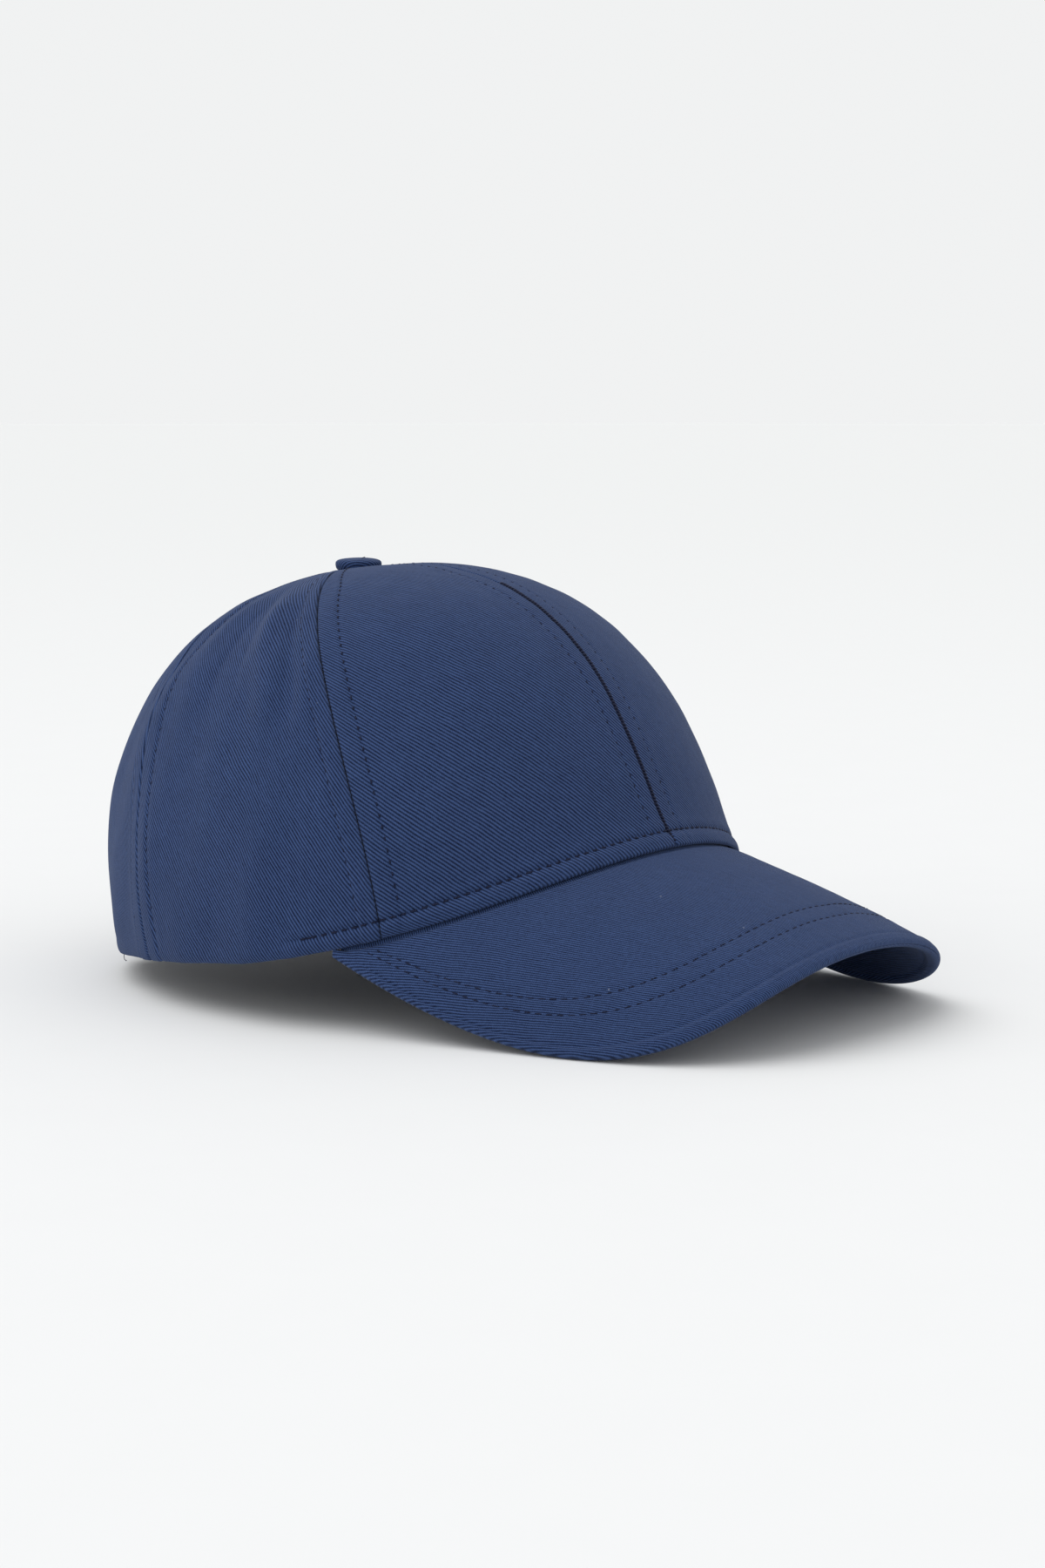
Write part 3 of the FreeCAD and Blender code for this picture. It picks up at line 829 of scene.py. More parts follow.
        _, fine_angle, fine_s, _ = place(climb)
        up_fine = travelled(form.point(fine_angle, fine_s))
        length = up_fine[-1]
        edge = np.array(self.edge_steps)
        rows = int(np.max(length) / self.mesh_step)
        rest = np.linspace(0.0, 1.0, rows)[1:, None]
        up = np.concatenate([np.broadcast_to(edge[:, None], (len(edge), len(columns))),
                             edge[-1] + (length - edge[-1]) * rest])
        climbed = np.stack([np.interp(up[:, j], up_fine[:, j], climb[:, 0])
                            for j in range(len(columns))], axis=1)
        share, angle, s, span = place(climbed)
        shrink = np.clip(span / self.full_width, 0.03, 1.0)
        signed = angle * cut.side
        points = form.point(signed, s)
        normals = form.normal(signed, s)
        along = np.interp(s, *self.middle_climb(cut))
        rise = (shrink * (cut.inner.height(share * span / shrink, along)
                          + cut.outer.height((1 - share) * span / shrink, along))
                + self.hem.height(up, signed) - 0.24 * ridge(up, TOPSTITCH, 0.6) * opening
                + self.folds(signed, s, points))
        away = np.minimum(np.minimum(share, 1 - share) * span, up)
        maps = cloth_maps(((share - 0.5) * span * cut.side, along), (away, along + signed * 80))
        deepest = 0.95 + 0.55 * smooth(up, 1.5, 4.0)
        rise = np.clip(rise, -deepest + 0.35, self.highest)
        depth = np.clip(self.thick - rise, self.thinnest, deepest)
        row_at = self.edge_steps.index(TOPSTITCH)
        return LaidPanel(points + normals * rise[..., None], points - normals * depth[..., None],
                         normals, signed, maps, (row_at, len(columns) - 1 - row_at),
                         self.edge_steps.index(self.hem.row), opening)

    def kept(self, columns: Array, width: float, span: Array) -> Array:
        """Shares of a span at which the columns beside a seam keep their distance from it.

        Args:
            columns: Share of each column at the foot.
            width: Width of the panel at its foot.
            span: Width of the panel at each point.

        Returns:
            Shares from 0 to 1.
        """
        shrink = np.minimum(1.0, span / self.full_width)
        reach = self.edge_steps[-1]
        near = columns * width / reach
        near_back = (1 - columns) * width / reach
        edge_share = reach * shrink / span
        inner_share = (columns - reach / width) / (1 - 2 * reach / width)
        inside = edge_share + (1 - 2 * edge_share) * inner_share
        return np.where(near < 1, near * edge_share,
                        np.where(near_back < 1, 1 - near_back * edge_share, inside))

    def widths(self, cut: PanelCut, s: Array) -> Array:
        """Width of a panel along the cloth.

        Args:
            cut: The panel.
            s: Places from the button to the hem.

        Returns:
            The width at each s.
        """
        level = np.linspace(APEX_S * 0.5, 1.0, 120)
        low, high = cut.bounds(self.form, level)
        turn = np.linspace(0, 1, 25)[:, None]
        span = travelled(self.form.point(low + (high - low) * turn, level + 0 * turn))[-1]
        return np.interp(s, level, span)

    def middle_climb(self, cut: PanelCut) -> tuple[Array, Array]:
        """Climb up the middle of a panel.

        Args:
            cut: The panel.

        Returns:
            Values of s, rising, and the distance above the hem at each.
        """
        s = np.linspace(1.0, 0.0, 240)
        low, high = cut.bounds(self.form, s)
        distance = travelled(self.form.point((low + high) / 2, s))
        return s[::-1], distance[::-1]


# ---- crown
@dataclass
class Crown:
    """The six panels, their topstitching and what is sewn behind them."""

    shop: Workshop
    finishes: "Finishes"
    layer: PanelLayer = PanelLayer()
    hem_thread: Thread = Thread(radius=0.26, stitch=2.0)
    seam_thread: Thread = Thread(radius=0.22, stitch=1.35, pitch=3.2)
    fine_thread: Thread = Thread(radius=0.15, stitch=1.25, pitch=3.2, sink=0.03)
    tack_thread: Thread = Thread(radius=0.22, stitch=1.3, pitch=1.8, sink=-0.1)
    cover_thread: Thread = Thread(radius=0.36, stitch=1.75, pitch=1.0, sink=-0.1)
    buckram_depth: Pair = (1.0, 1.45)
    buckram_margin: float = math.radians(3.0)
    cover_span: Pair = (0.24, 0.985)
    cover_lean: float = math.radians(52)
    button_clear: float = 8.5
    tack_places: int = 7

    def cuts(self) -> list[PanelCut]:
        """The six panels.

        Returns:
            Three on the right, then three on the left, each from the front.
        """
        front, back = self.layer.form.front_side_seam, self.layer.form.side_back_seam
        middle = SeamSide(radius=0.9, fold=0.8, band=0.16, groove=0.07)
        under = SeamSide(radius=0.8, fold=1.1, band=0.1, groove=0.34)
        over = SeamSide(radius=1.5, fold=1.1, band=0.55)
        rear = SeamSide(radius=1.1, fold=1.0, band=0.4)
        places = (("front", None, front, middle, under), ("side", front, back, over, rear),
                  ("back", back, None, rear, rear))
        return [PanelCut(f"{place}_panel_{word}", side, *edges, math.radians(angle))
                for side, word, ribs in ((-1, "right", (-50.0, -61.0, -56.0)),
                                         (1, "left", (-44.0, -32.0, -36.0)))
                for (place, *edges), angle in zip(places, ribs)]

    def build(self) -> None:
        """Make the panels, their stitching and the stiffeners."""
        rows: list[Shape] = []
        for number, cut in enumerate(self.cuts()):
            laid = self.layer.lay(cut)
            shape = Shape.sheet(laid.outer, laid.inner, laid.maps)
            self.shop.make(f"{cut.name}_cloth", shape, self.finishes.twill(cut.rib_angle),
                           Body.CAP, (cut.name,))
            rows += self.rows_of(cut, laid, number * 10)
        rows.append(self.front_cover_stitch())
        self.shop.make("crown_topstitching", Shape.joined(rows), self.finishes.thread(),
                       Body.CAP)
        for side, word in ((1, "left"), (-1, "right")):
            self.buckram(side, word)

    def rows_of(self, cut: PanelCut, laid: LaidPanel, seed: int) -> list[Shape]:
        """Topstitching of one panel.

        Args:
            cut: The panel.
            laid: Its grids.
            seed: Choice of small differences.

        Returns:
            The rows of stitches.
        """
        rows = []
        clear = laid.hem_row + 6
        for column, seam in zip(laid.seam_column, (cut.inner_seam, cut.outer_seam)):
            thread = self.seam_thread if cut.inner_seam is None and seam else self.fine_thread
            path = laid.outer[clear:, column]
            from_top = np.linalg.norm(path[:, :2] - [0, self.layer.form.top_y], axis=1)
            shown = from_top > self.button_clear
            rows.append(thread.sew(path[shown], laid.normals[clear:, column][shown],
                                   seed + column))
        path, normals = laid.outer[laid.hem_row], laid.normals[laid.hem_row]
        stitched = np.abs(laid.angle[laid.hem_row]) < self.layer.hem.last_stitch
        if cut.outer_seam is None:
            hemmed = laid.opening
            arch_row = self.layer.edge_steps.index(TOPSTITCH)
            rows.append(self.seam_thread.sew(laid.outer[arch_row][hemmed],
                                             laid.normals[arch_row][hemmed], seed + 3))
        elif stitched.any():
            path, normals = path[stitched], normals[stitched]
            rows.append(self.hem_thread.sew(path, normals, seed + 4))
            if cut.inner_seam:
                last = slice(-self.tack_places, None)
                rows.append(self.tack_thread.sew(path[last], normals[last], seed + 5))
        return rows

    def front_cover_stitch(self) -> Shape:
        """Leaning stitches that cover the seam between the two front panels.

        Returns:
            The stitches.
        """
        form = self.layer.form
        s = np.linspace(*self.cover_span, 160)
        angle = np.zeros_like(s)
        normals = form.normal(angle, s)
        path = form.point(angle, s) + normals * 0.02 + normals * self.layer.folds(
            angle, s, form.point(angle, s))[:, None]
        return self.cover_thread.sew(path, normals, 91, self.cover_lean, 0.5)

    def buckram(self, side: int, word: str) -> None:
        """Stiffener fused behind one front panel.

        Args:
            side: +1 on the left, -1 on the right.
            word: The side's name.
        """
        form, margin = self.layer.form, self.buckram_margin
        s = np.linspace(0.10, 0.97, 90)[:, None]
        share = np.linspace(0, 1, 60)[None, :]
        low, high = margin, form.seam(form.front_side_seam, s) - margin
        angle = (low + (high - low) * share) * side
        s = s + 0 * angle
        outer_depth, inner_depth = self.buckram_depth
        points = form.point(angle, s)
        away = np.minimum(np.minimum(share, 1 - share) * self.layer.crown_radius, 3.0) + 0 * s
        maps = cloth_maps((points[..., 0], points[..., 2]), (away, points[..., 2]))
        wave = 0.04 * ripple(points, 7.0, 3)
        shape = Shape.sheet(form.under(angle, s, np.full_like(angle, outer_depth + 0.06)),
                            form.under(angle, s, inner_depth + wave - 0.12 * (1 - away / 3.0)),
                            maps)
        self.shop.make(f"front_buckram_{word}_mesh", shape, self.finishes.stiffener(),
                       Body.CAP, (f"front_buckram_{word}",), "buckram")


@dataclass
class Lining:
    """Tapes, binding, sweatband and label inside the crown."""

    shop: Workshop
    finishes: "Finishes"
    form: CrownForm = CrownForm()
    arch: RearArch = RearArch()
    thread: Thread = Thread(radius=0.18, stitch=2.0, sink=-0.02)
    tape_depth: float = 1.85
    tape_thick: float = 0.5
    tape_width: float = 14.0
    center_tape_width: float = 18.0
    crown_radius: float = 85.0
    binding_depth: float = 1.15
    binding_thick: float = 0.45
    binding_width: float = 8.0
    band_thick: float = 1.2
    band_height: float = 32.0
    band_lift: float = 1.5
    band_end: float = math.radians(140.0)
    band_front_depth: float = 3.0
    band_rear_depth: float = 5.2
    band_rows: Pair = (28.7, 3.6)
    label_height: float = 23.0
    label_lift: float = 8.0
    label_thick: float = 0.3

    def build(self) -> None:
        """Make every piece of the lining."""
        form = self.form
        rows: list[Shape] = []
        for side, word in ((1, "left"), (-1, "right")):
            for name, seam, top_s in (("front_side_tape", form.front_side_seam, 0.06),
                                      ("side_back_tape", form.side_back_seam, 0.13)):
                s = np.linspace(top_s, 0.975, 150)
                shape, sewn = self.tape(form.seam(seam, s) * side, s, self.tape_width)
                self.shop.make(f"{name}_{word}_cloth", shape, self.finishes.tape(), Body.CAP,
                               (f"{name}_{word}",), "inner_cotton")
                rows += sewn
        top = form.crown_at(0.0, self.arch.shoulder_z + self.arch.rise + 1.0)[1]
        s_front = np.linspace(0.975, APEX_S, 170)
        s_rear = np.linspace(APEX_S, top, 120)
        angle = np.concatenate([np.zeros_like(s_front), np.full_like(s_rear, math.pi)])
        shape, sewn = self.tape(angle, np.concatenate([s_front, s_rear]), self.center_tape_width)
        self.shop.make("center_seam_tape_cloth", shape, self.finishes.tape(), Body.CAP,
                       ("center_seam_tape",), "inner_cotton")
        self.binding()
        rows += self.sweatband()
        self.label()
        self.shop.make("lining_stitching", Shape.joined(rows + sewn), self.finishes.thread(),
                       Body.CAP, slot="inner_cotton")

    def tape(self, angle: Array, s: Array, width: float) -> tuple[Shape, list[Shape]]:
        """Folded tape laid under the crown, with its two rows of stitching.

        Args:
            angle: Angles along the middle of the tape.
            s: Values of s along the middle of the tape.
            width: Width of the tape.

        Returns:
            The tape and its stitches.
        """
        middle = self.form.point(angle, s)
        normals = self.form.normal(angle, s)
        across = unit(np.cross(normals, unit(np.gradient(middle, axis=0))))
        offset = both_ways((0, 0.2, 0.45, 0.64, 0.72, 0.8, 0.9, 0.97, 1)) * width / 2
        along = travelled(middle)[:, None]
        sag = offset ** 2 / (2 * self.crown_radius)
        away = width / 2 - np.abs(offset)
        edge = np.clip(away / 0.7, 0, 1)
        row = 0.72 * width / 2
        puff = (0.32 * (1 - smooth(np.abs(offset), row - 2.5, row))
                - 0.16 * ridge(np.abs(offset), row, 0.5) * stitch_pull(along, 0.4)
                + 0.05 * np.sin(along / 2.1 + offset))
        base = middle[:, None] + across[:, None] * offset[None, :, None]
        level = self.tape_depth + sag
        upper = base - normals[:, None] * (level + 0.1 * (1 - edge))[None, :, None]
        level = level + self.tape_thick * (0.35 + 0.65 * rounded(edge, 1.0)) + puff
        lower = base - normals[:, None] * level[..., None]
        rows = [self.thread.sew(lower[:, column], -normals, column) for column in (4, 12)]
        maps = cloth_maps((offset, along), (away, along))
        return Shape.sheet(upper, lower, maps), rows

    def binding(self) -> None:
        """Tape behind the edge of the rear opening."""
        shares = np.linspace(0.0, 1.0, 150)
        outs = np.array([0.3, 0.5, 0.9, 1.6, 3.2, 4.8, 6.4, 7.1, 7.6, self.binding_width])
        places = np.array([[self.form.crown_at(*self.arch.outline(share, out)) for out in outs]
                           for share in shares])
        angle, s = places[..., 0], places[..., 1]
        edge = np.minimum(outs - outs[0], self.binding_width - outs)
        along = travelled(self.form.point(angle, s))[:, :1]
        ribbing = 0.03 * np.sin(along * 2.6)
        depth = self.binding_depth + 0.1
        thick = (self.binding_thick - 0.1) * (0.3 + 0.7 * rounded(edge, 0.6))
        upper = self.form.under(angle, s, np.full_like(angle, depth))
        lower = self.form.under(angle, s, depth + thick + ribbing)
        maps = cloth_maps((outs, along), (edge, along))
        self.shop.make("opening_binding_cloth", Shape.sheet(upper, lower, maps),
                       self.finishes.tape(), Body.CAP, ("opening_binding",), "inner_cotton")

    def band_depth(self, angle: Array) -> Array:
        """Depth of the sweatband's outer face, more at the rear where the strap runs."""
        ramp = smooth(np.degrees(np.abs(angle)), 60.0, 105.0)
        return self.band_front_depth + (self.band_rear_depth - self.band_front_depth) * ramp

    def sweatband(self) -> list[Shape]:
        """Folded band round the inside of the hem.

        Returns:
            Its stitching.
        """
        angle = np.linspace(-self.band_end, self.band_end, 420)
        upper, lower = self.band_rows
        height = np.array([0, 0.25, 0.7, 1.3, 2.2, 3.2, lower, 4.0, 5.0, 7, 10, 13, 16, 19, 22, 25,
                           27.2, 28.2, upper, 29.2, 30.2, 31.0, 31.6, self.band_height])
        s = np.stack([self.form.s_above_hem(a, self.band_lift + height) for a in angle])
        angle_grid = np.broadcast_to(angle[:, None], s.shape)
        points = self.form.point(angle_grid, s)
        along = travelled(points)[:, :1]
        edge = np.minimum(height, self.band_height - height)
        dip = (0.22 * (ridge(height, upper, 0.6) + ridge(height, lower, 0.6))
               * stitch_pull(along, 0.35))
        wrinkle = 0.1 * ripple(points * [1, 1, 0.4], 13.0, 31) + 0.08 * np.sin(along / 1.9)
        wrinkle = wrinkle * smooth(edge, 0.5, 4.0)
        thick = (self.band_thick - 0.12) * (0.35 + 0.65 * rounded(edge, 1.0)) + 0.1
        outer = self.form.under(angle_grid, s, self.band_depth(angle_grid) + 0.05)
        level = self.band_depth(angle_grid) + thick - dip + wrinkle
        inner = self.form.under(angle_grid, s, level)
        maps = cloth_maps((along, height), (edge, along))
        self.shop.make("sweatband_cloth", Shape.sheet(outer, inner, maps),
                       self.finishes.sweatband(), Body.CAP, ("sweatband",), "inner_cotton")
        normals = -self.form.normal(angle_grid, s)
        return [self.thread.sew(inner[:, column], normals[:, column], column)
                for column in (18, 6)]

    def label(self) -> None:
        """Blank folded label sewn to the sweatband."""
        angle = np.radians(np.concatenate([[98.0, 98.1, 98.5], np.linspace(99.2, 112.8, 34),
                                           [113.5, 113.9, 114.0]]))
        tall = self.label_height
        height = np.concatenate([[0, 0.25, 0.7], np.linspace(1.4, 21.6, 24), [22.3, 22.8, tall]])
        s = np.stack([self.form.s_above_hem(a, self.label_lift + height) for a in angle])
        angle_grid = np.broadcast_to(angle[:, None], s.shape)
        points = self.form.point(angle_grid, s)
        along = travelled(points)[:, :1]
        wide = along[-1, 0]
        edge = np.minimum(np.minimum(height, tall - height)[None, :],
                          np.minimum(along, wide - along))
        base = self.band_depth(angle_grid) + self.band_thick + 0.16
        swell = 0.12 * ridge(along, wide / 2, wide / 3) * np.sin(math.pi * height / tall)[None, :]
        outer = self.form.under(angle_grid, s, base)
        thick = self.label_thick * (0.35 + 0.65 * rounded(edge, 0.7))
        inner = self.form.under(angle_grid, s, base + thick + swell)
        maps = cloth_maps((along, height), (edge, along))
        self.shop.make("care_label_satin", Shape.sheet(outer, inner, maps),
                       self.finishes.satin(), Body.CAP, ("care_label",), "label_satin")


# ---- brim
@dataclass
class Brim:
    """Two twill covers over the stiff board, with rows of topstitching."""

    shop: Workshop
    finishes: "Finishes"
    form: CrownForm = CrownForm()
    thread: Thread = Thread(radius=0.17, stitch=2.1, sink=0.0)
    rib_pitch: float = 0.52
    tip: Place = (0.0, -124.3, 23.7)
    front_handle: Place = (68.5, -124.3, 23.7)
    side_handle: Place = (65.2, -104.7, -27.2)
    end_angle: float = math.radians(69.3)
    crowning: float = 1.57
    drop: Pair = (2.7, -1.0)
    inset: Pair = (0.8, 0.9)
    half_thick: float = 1.55
    cover: float = 0.6
    stitch_rows: tuple[float, ...] = (15.0, 21.0)
    edge_half: float = 170.0
    hem_half: float = 90.0

    def outline(self, t: Array) -> Array:
        """Outer edge of the middle surface.

        Args:
            t: Places along the brim, from -1 on the right to 1 on the left.

        Returns:
            Points in millimetres.
        """
        share = np.abs(t)[..., None]
        m = 1.0 - share
        end = self.form.hem(np.array(self.end_angle)) - [0, 0, sum(self.drop)]
        point = (np.array(self.tip) * m ** 3
                 + np.array(self.front_handle) * (3 * m * m * share)
                 + np.array(self.side_handle) * (3 * m * share * share) + end * share ** 3)
        ones = np.ones_like(t)
        return point * np.stack([np.where(t < 0, -1.0, 1.0), ones, ones], -1)

    def root(self, t: Array) -> Array:
        """Inner edge of the middle surface, just under the hem.

        Args:
            t: Places along the brim.

        Returns:
            Points in millimetres.
        """
        angle = self.end_angle * t
        outwards = np.stack([np.sin(angle), -np.cos(angle), 0 * angle], -1)
        inset = self.inset[0] + self.inset[1] * t * t
        drop = self.drop[0] + self.drop[1] * t * t
        up = np.array([0.0, 0.0, 1.0])
        return self.form.hem(angle) - outwards * inset[..., None] - up * drop[..., None]

    def length(self, t: Array) -> Array:
        """Distance from the hem to the outer edge at each t."""
        return np.linalg.norm(self.outline(t) - self.root(t), axis=-1)

    def middle(self, t: Array, share: Array) -> Array:
        """Middle surface of the brim.

        Args:
            t: Places along the brim.
            share: Places out from the hem, 0, to the outer edge, 1.

        Returns:
            Points in millimetres.
        """
        rise = self.crowning * 4 * share * (1 - share)
        return (self.root(t) * (1 - share)[..., None] + self.outline(t) * share[..., None]
                + np.stack([0 * rise, 0 * rise, rise], -1))

    def normal(self, t: Array, share: Array) -> Array:
        """Upward unit normals of the middle surface.

        Args:
            t: Places along the brim.
            share: Places out from the hem.

        Returns:
            The directions.
        """
        step = 1e-3
        inside = np.clip(t, -0.985, 0.985)
        along = self.middle(inside + step, share) - self.middle(inside - step, share)
        out = self.middle(inside, share + step) - self.middle(inside, share - step)
        return unit(np.cross(out, along))

    def place(self, t: Array, from_edge: Array, height: Array) -> Array:
        """Points off the middle surface.

        Args:
            t: Places along the brim.
            from_edge: Distances in from the outer edge.
            height: Distances above the middle surface.

        Returns:
            Points in millimetres.
        """
        t, from_edge = np.broadcast_arrays(t, from_edge)
        share = 1.0 - from_edge / self.length(t)
        return self.middle(t, share) + self.normal(t, share) * np.asarray(height)[..., None]

    def relief(self, t: Array, from_edge: Array, points: Array) -> Array:
        """Rise of the cloth: pulled in along the stitching, a little loose between.

        Args:
            t: Places along the brim.
            from_edge: Distances in from the outer edge.
            points: The same places in space.

        Returns:
            Rise off the flat cover.
        """
        length = self.length(t)
        rise = 0.05 * ripple(points, 16.0, 41) + 0.025 * ripple(points, 6.0, 42)
        pull = stitch_pull(t * self.edge_half)
        for row in self.stitch_rows:
            there = smooth(length, row + 1.0, row + 6.0)
            rise = rise - 0.18 * there * ridge(from_edge, row, 0.65) * pull
            rise = rise + 0.08 * there * (ridge(from_edge, row - 2.0, 1.2)
                                          + ridge(from_edge, row + 2.0, 1.2))
        rise = rise + 0.24 * ridge(from_edge, 2.3, 1.0) - 0.28 * ridge(from_edge, 4.0, 0.6)
        return rise * smooth(length, 4.0, 18.0) * smooth(from_edge, 1.2, 2.6)

    def thickness(self, t: Array) -> Array:
        """Half the brim's thickness, less where it tucks under the crown at its ends."""
        return self.half_thick * (1 - 0.55 * smooth(np.abs(t), 0.94, 1.0))

    def cover_grid(self, level: float, side: int, relief: bool) -> tuple[Array, Array, Array]:
        """Grid of one face of a cover, from the hem out and round the edge.

        Args:
            level: Distance of the face from the middle surface.
            side: +1 above, -1 below.
            relief: Whether the stitching shows in it.

        Returns:
            Points, t and distance from the edge.
        """
        t = np.linspace(-1.0, 1.0, 361)[:, None]
        thick = self.thickness(t) * level / self.half_thick
        length = self.length(t)
        share = np.concatenate([np.linspace(0.0, 0.62, 34)[:-1], np.linspace(0.62, 0.955, 40)[:-1],
                                np.linspace(0.955, 1.0, 9)])[None, :]
        last = np.minimum(self.thickness(t), length * 0.45)
        from_edge = length - last - (length - 2 * last) * share
        points = self.place(t, from_edge, thick * side + 0 * from_edge)
        if relief:
            rise = self.relief(t + 0 * from_edge, from_edge, points)
            points = self.place(t, from_edge, (thick + rise) * side)
        lean = np.radians(np.linspace(12.0, 88.0, 8))[None, :]
        reach = np.sin(lean) * thick * np.minimum(1.0, last / np.maximum(thick, 1e-6))
        height = thick * np.cos(lean) * side
        round_edge = self.place(t, last - reach, height)
        round_root = self.place(t, length - last + reach, height)[:, ::-1]
        away = np.concatenate([(length - last + reach)[:, ::-1], from_edge, last - reach], axis=1)
        return (np.concatenate([round_root, points, round_edge], axis=1),
                np.broadcast_to(t, away.shape), away)

    def seam_allowance(self) -> Shape:
        """Edge of the upper cover, sewn up behind the hem.

        Returns:
            The strip of cloth.
        """
        t = np.linspace(-0.985, 0.985, 260)
        angle = self.end_angle * t
        heights = np.array([0.5, 1.3, 2.4, 4.0, 6.0])
        depths = np.array([1.75, 2.15, 2.4, 2.5, 2.5])
        s = np.stack([self.form.s_above_hem(a, heights) for a in angle])
        turn = np.broadcast_to(angle[:, None], s.shape)
        length = self.length(t)
        low = self.place(t, length - 0.9, 0.7 * self.thickness(t))
        outwards = np.stack([np.sin(angle), -np.cos(angle), 0 * angle], -1)
        outer = np.concatenate([low[:, None], self.form.under(turn, s, depths + 0 * s)], axis=1)
        inner = np.concatenate([(low - outwards * 0.3)[:, None],
                                self.form.under(turn, s, depths + 0.35 + 0 * s)], axis=1)
        along = t[:, None] * self.hem_half
        up = np.concatenate([[-1.0], heights])[None, :]
        return Shape.sheet(outer, inner, cloth_maps((along, up), (5 + 0 * up, along)))

    def build(self) -> None:
        """Make both covers, their edge seam and their stitching."""
        rows: list[Shape] = []
        for side, word in ((1, "top"), (-1, "bottom")):
            outer, t, from_edge = self.cover_grid(self.half_thick, side, True)
            inner, _, _ = self.cover_grid(self.half_thick - self.cover, side, False)
            flat = self.unrolled(outer)
            maps = cloth_maps((flat[..., 0], flat[..., 1]), (from_edge, t * self.edge_half))
            shape = Shape.sheet(outer, inner, maps)
            if side > 0:
                shape = Shape.joined([shape, self.seam_allowance()])
            finish = self.finishes.twill(math.radians(-80.0 if side > 0 else 62.0), self.rib_pitch)
            self.shop.make(f"brim_cover_{word}_cloth", shape, finish, Body.CAP,
                           (f"brim_cover_{word}",))
            for number, row in enumerate(self.stitch_rows):
                rows.append(self.row(row, side, 50 + number + 10 * side))
        self.shop.make("brim_topstitching", Shape.joined(rows), self.finishes.thread(), Body.CAP)

    @staticmethod
    def unrolled(points: Array) -> Array:
        """Flat places of the brim, its curve from side to side laid out level.

        Args:
            points: Points on the brim.

        Returns:
            Distances sideways and forwards.
        """
        radius, centre_z = 82.0, -57.7
        around = np.arctan2(points[..., 0], points[..., 2] - centre_z)
        return np.stack([around * radius, points[..., 1]], axis=-1)

    def row(self, from_edge: float, side: int, seed: int) -> Shape:
        """One row of topstitching that follows the outer edge.

        Args:
            from_edge: Its distance from the edge.
            side: +1 above, -1 below.
            seed: Choice of small differences.

        Returns:
            The stitches.
        """
        t = np.linspace(-0.99, 0.99, 700)
        t = t[self.length(t) > from_edge + 2.5]
        away = np.full_like(t, from_edge)
        flat = self.place(t, away, np.full_like(t, self.half_thick * side))
        rise = self.relief(t, away, flat)
        path = self.place(t, away, (self.half_thick + rise) * side)
        share = 1 - away / self.length(t)
        return self.thread.sew(path, self.normal(t, share) * side, seed)


# ---- top button
@dataclass
class TopButton:
    """Cloth-covered button over the rivet, with its metal parts."""

    shop: Workshop
    finishes: "Finishes"
    top_y: float = 54.4
    radius: float = 6.75
    bottom: float = 115.75
    top: float = 119.2
    skin: float = 0.5

    def profile(self, radius: float, bottom: float, top: float) -> tuple[Array, Array]:
        """Half outline of the dome, from its crest to its rim underneath.

        Args:
            radius: Largest radius.
            bottom: Lowest height.
            top: Highest height.

        Returns:
            Distances from the axis and heights.
        """
        shoulder = bottom + 0.48 * (top - bottom)
        turn = np.radians(np.concatenate([[0.3, 6], np.linspace(14, 90, 26)]))
        power = 0.625
        out = radius * np.sin(turn) ** power
        up = shoulder + (top - shoulder) * np.maximum(np.cos(turn), 0) ** power
        under = np.radians(np.linspace(8, 90, 12))
        out_low = radius - radius * 0.16 * (1 - np.cos(under))
        up_low = shoulder - (shoulder - bottom) * np.sin(under)
        rim = np.linspace(radius * 0.84, self.radius * 0.7, 4)[1:]
        return (np.concatenate([out, out_low, rim])[:, None],
                np.concatenate([up, up_low, np.full(3, bottom)])[:, None])

    def build(self) -> None:
        """Make the cover."""
        around = np.linspace(0, FULL_TURN, 97)[:-1][None, :]
        out, up = self.profile(self.radius, self.bottom, self.top)
        low = smooth(-up, -(self.bottom + 1.7), -self.bottom)
        gathered = (0.09 * low * np.sin(around * 13 + 1.2 * np.sin(around * 3))
                    * smooth(out, 4.0, 6.4))
        sway = 0.05 * np.sin(around * 2 + 0.7) * smooth(out, 1.0, 5.0)
        span = travelled(np.concatenate([out, up, 0 * up], axis=1))[:, None]
        outer = self.turned(out + gathered, up + sway, around)
        inner = self.turned(*self.profile(self.radius - self.skin, self.bottom + self.skin,
                                          self.top - self.skin), around)
        maps = cloth_maps((span * np.cos(around), span * np.sin(around)),
                          (np.clip(9.5 - span, 0, 9), around * 5))
        self.shop.make("button_cover_cloth", Shape.sheet(outer, inner, maps, ring=True),
                       self.finishes.twill(math.radians(-48)), Body.CAP, ("button_cover",))

    def turned(self, out: Array, up: Array, around: Array) -> Array:
        """Points of a turned surface about the button's axis."""
        return np.stack(np.broadcast_arrays(
            out * np.cos(around), self.top_y + out * np.sin(around), up), axis=-1)


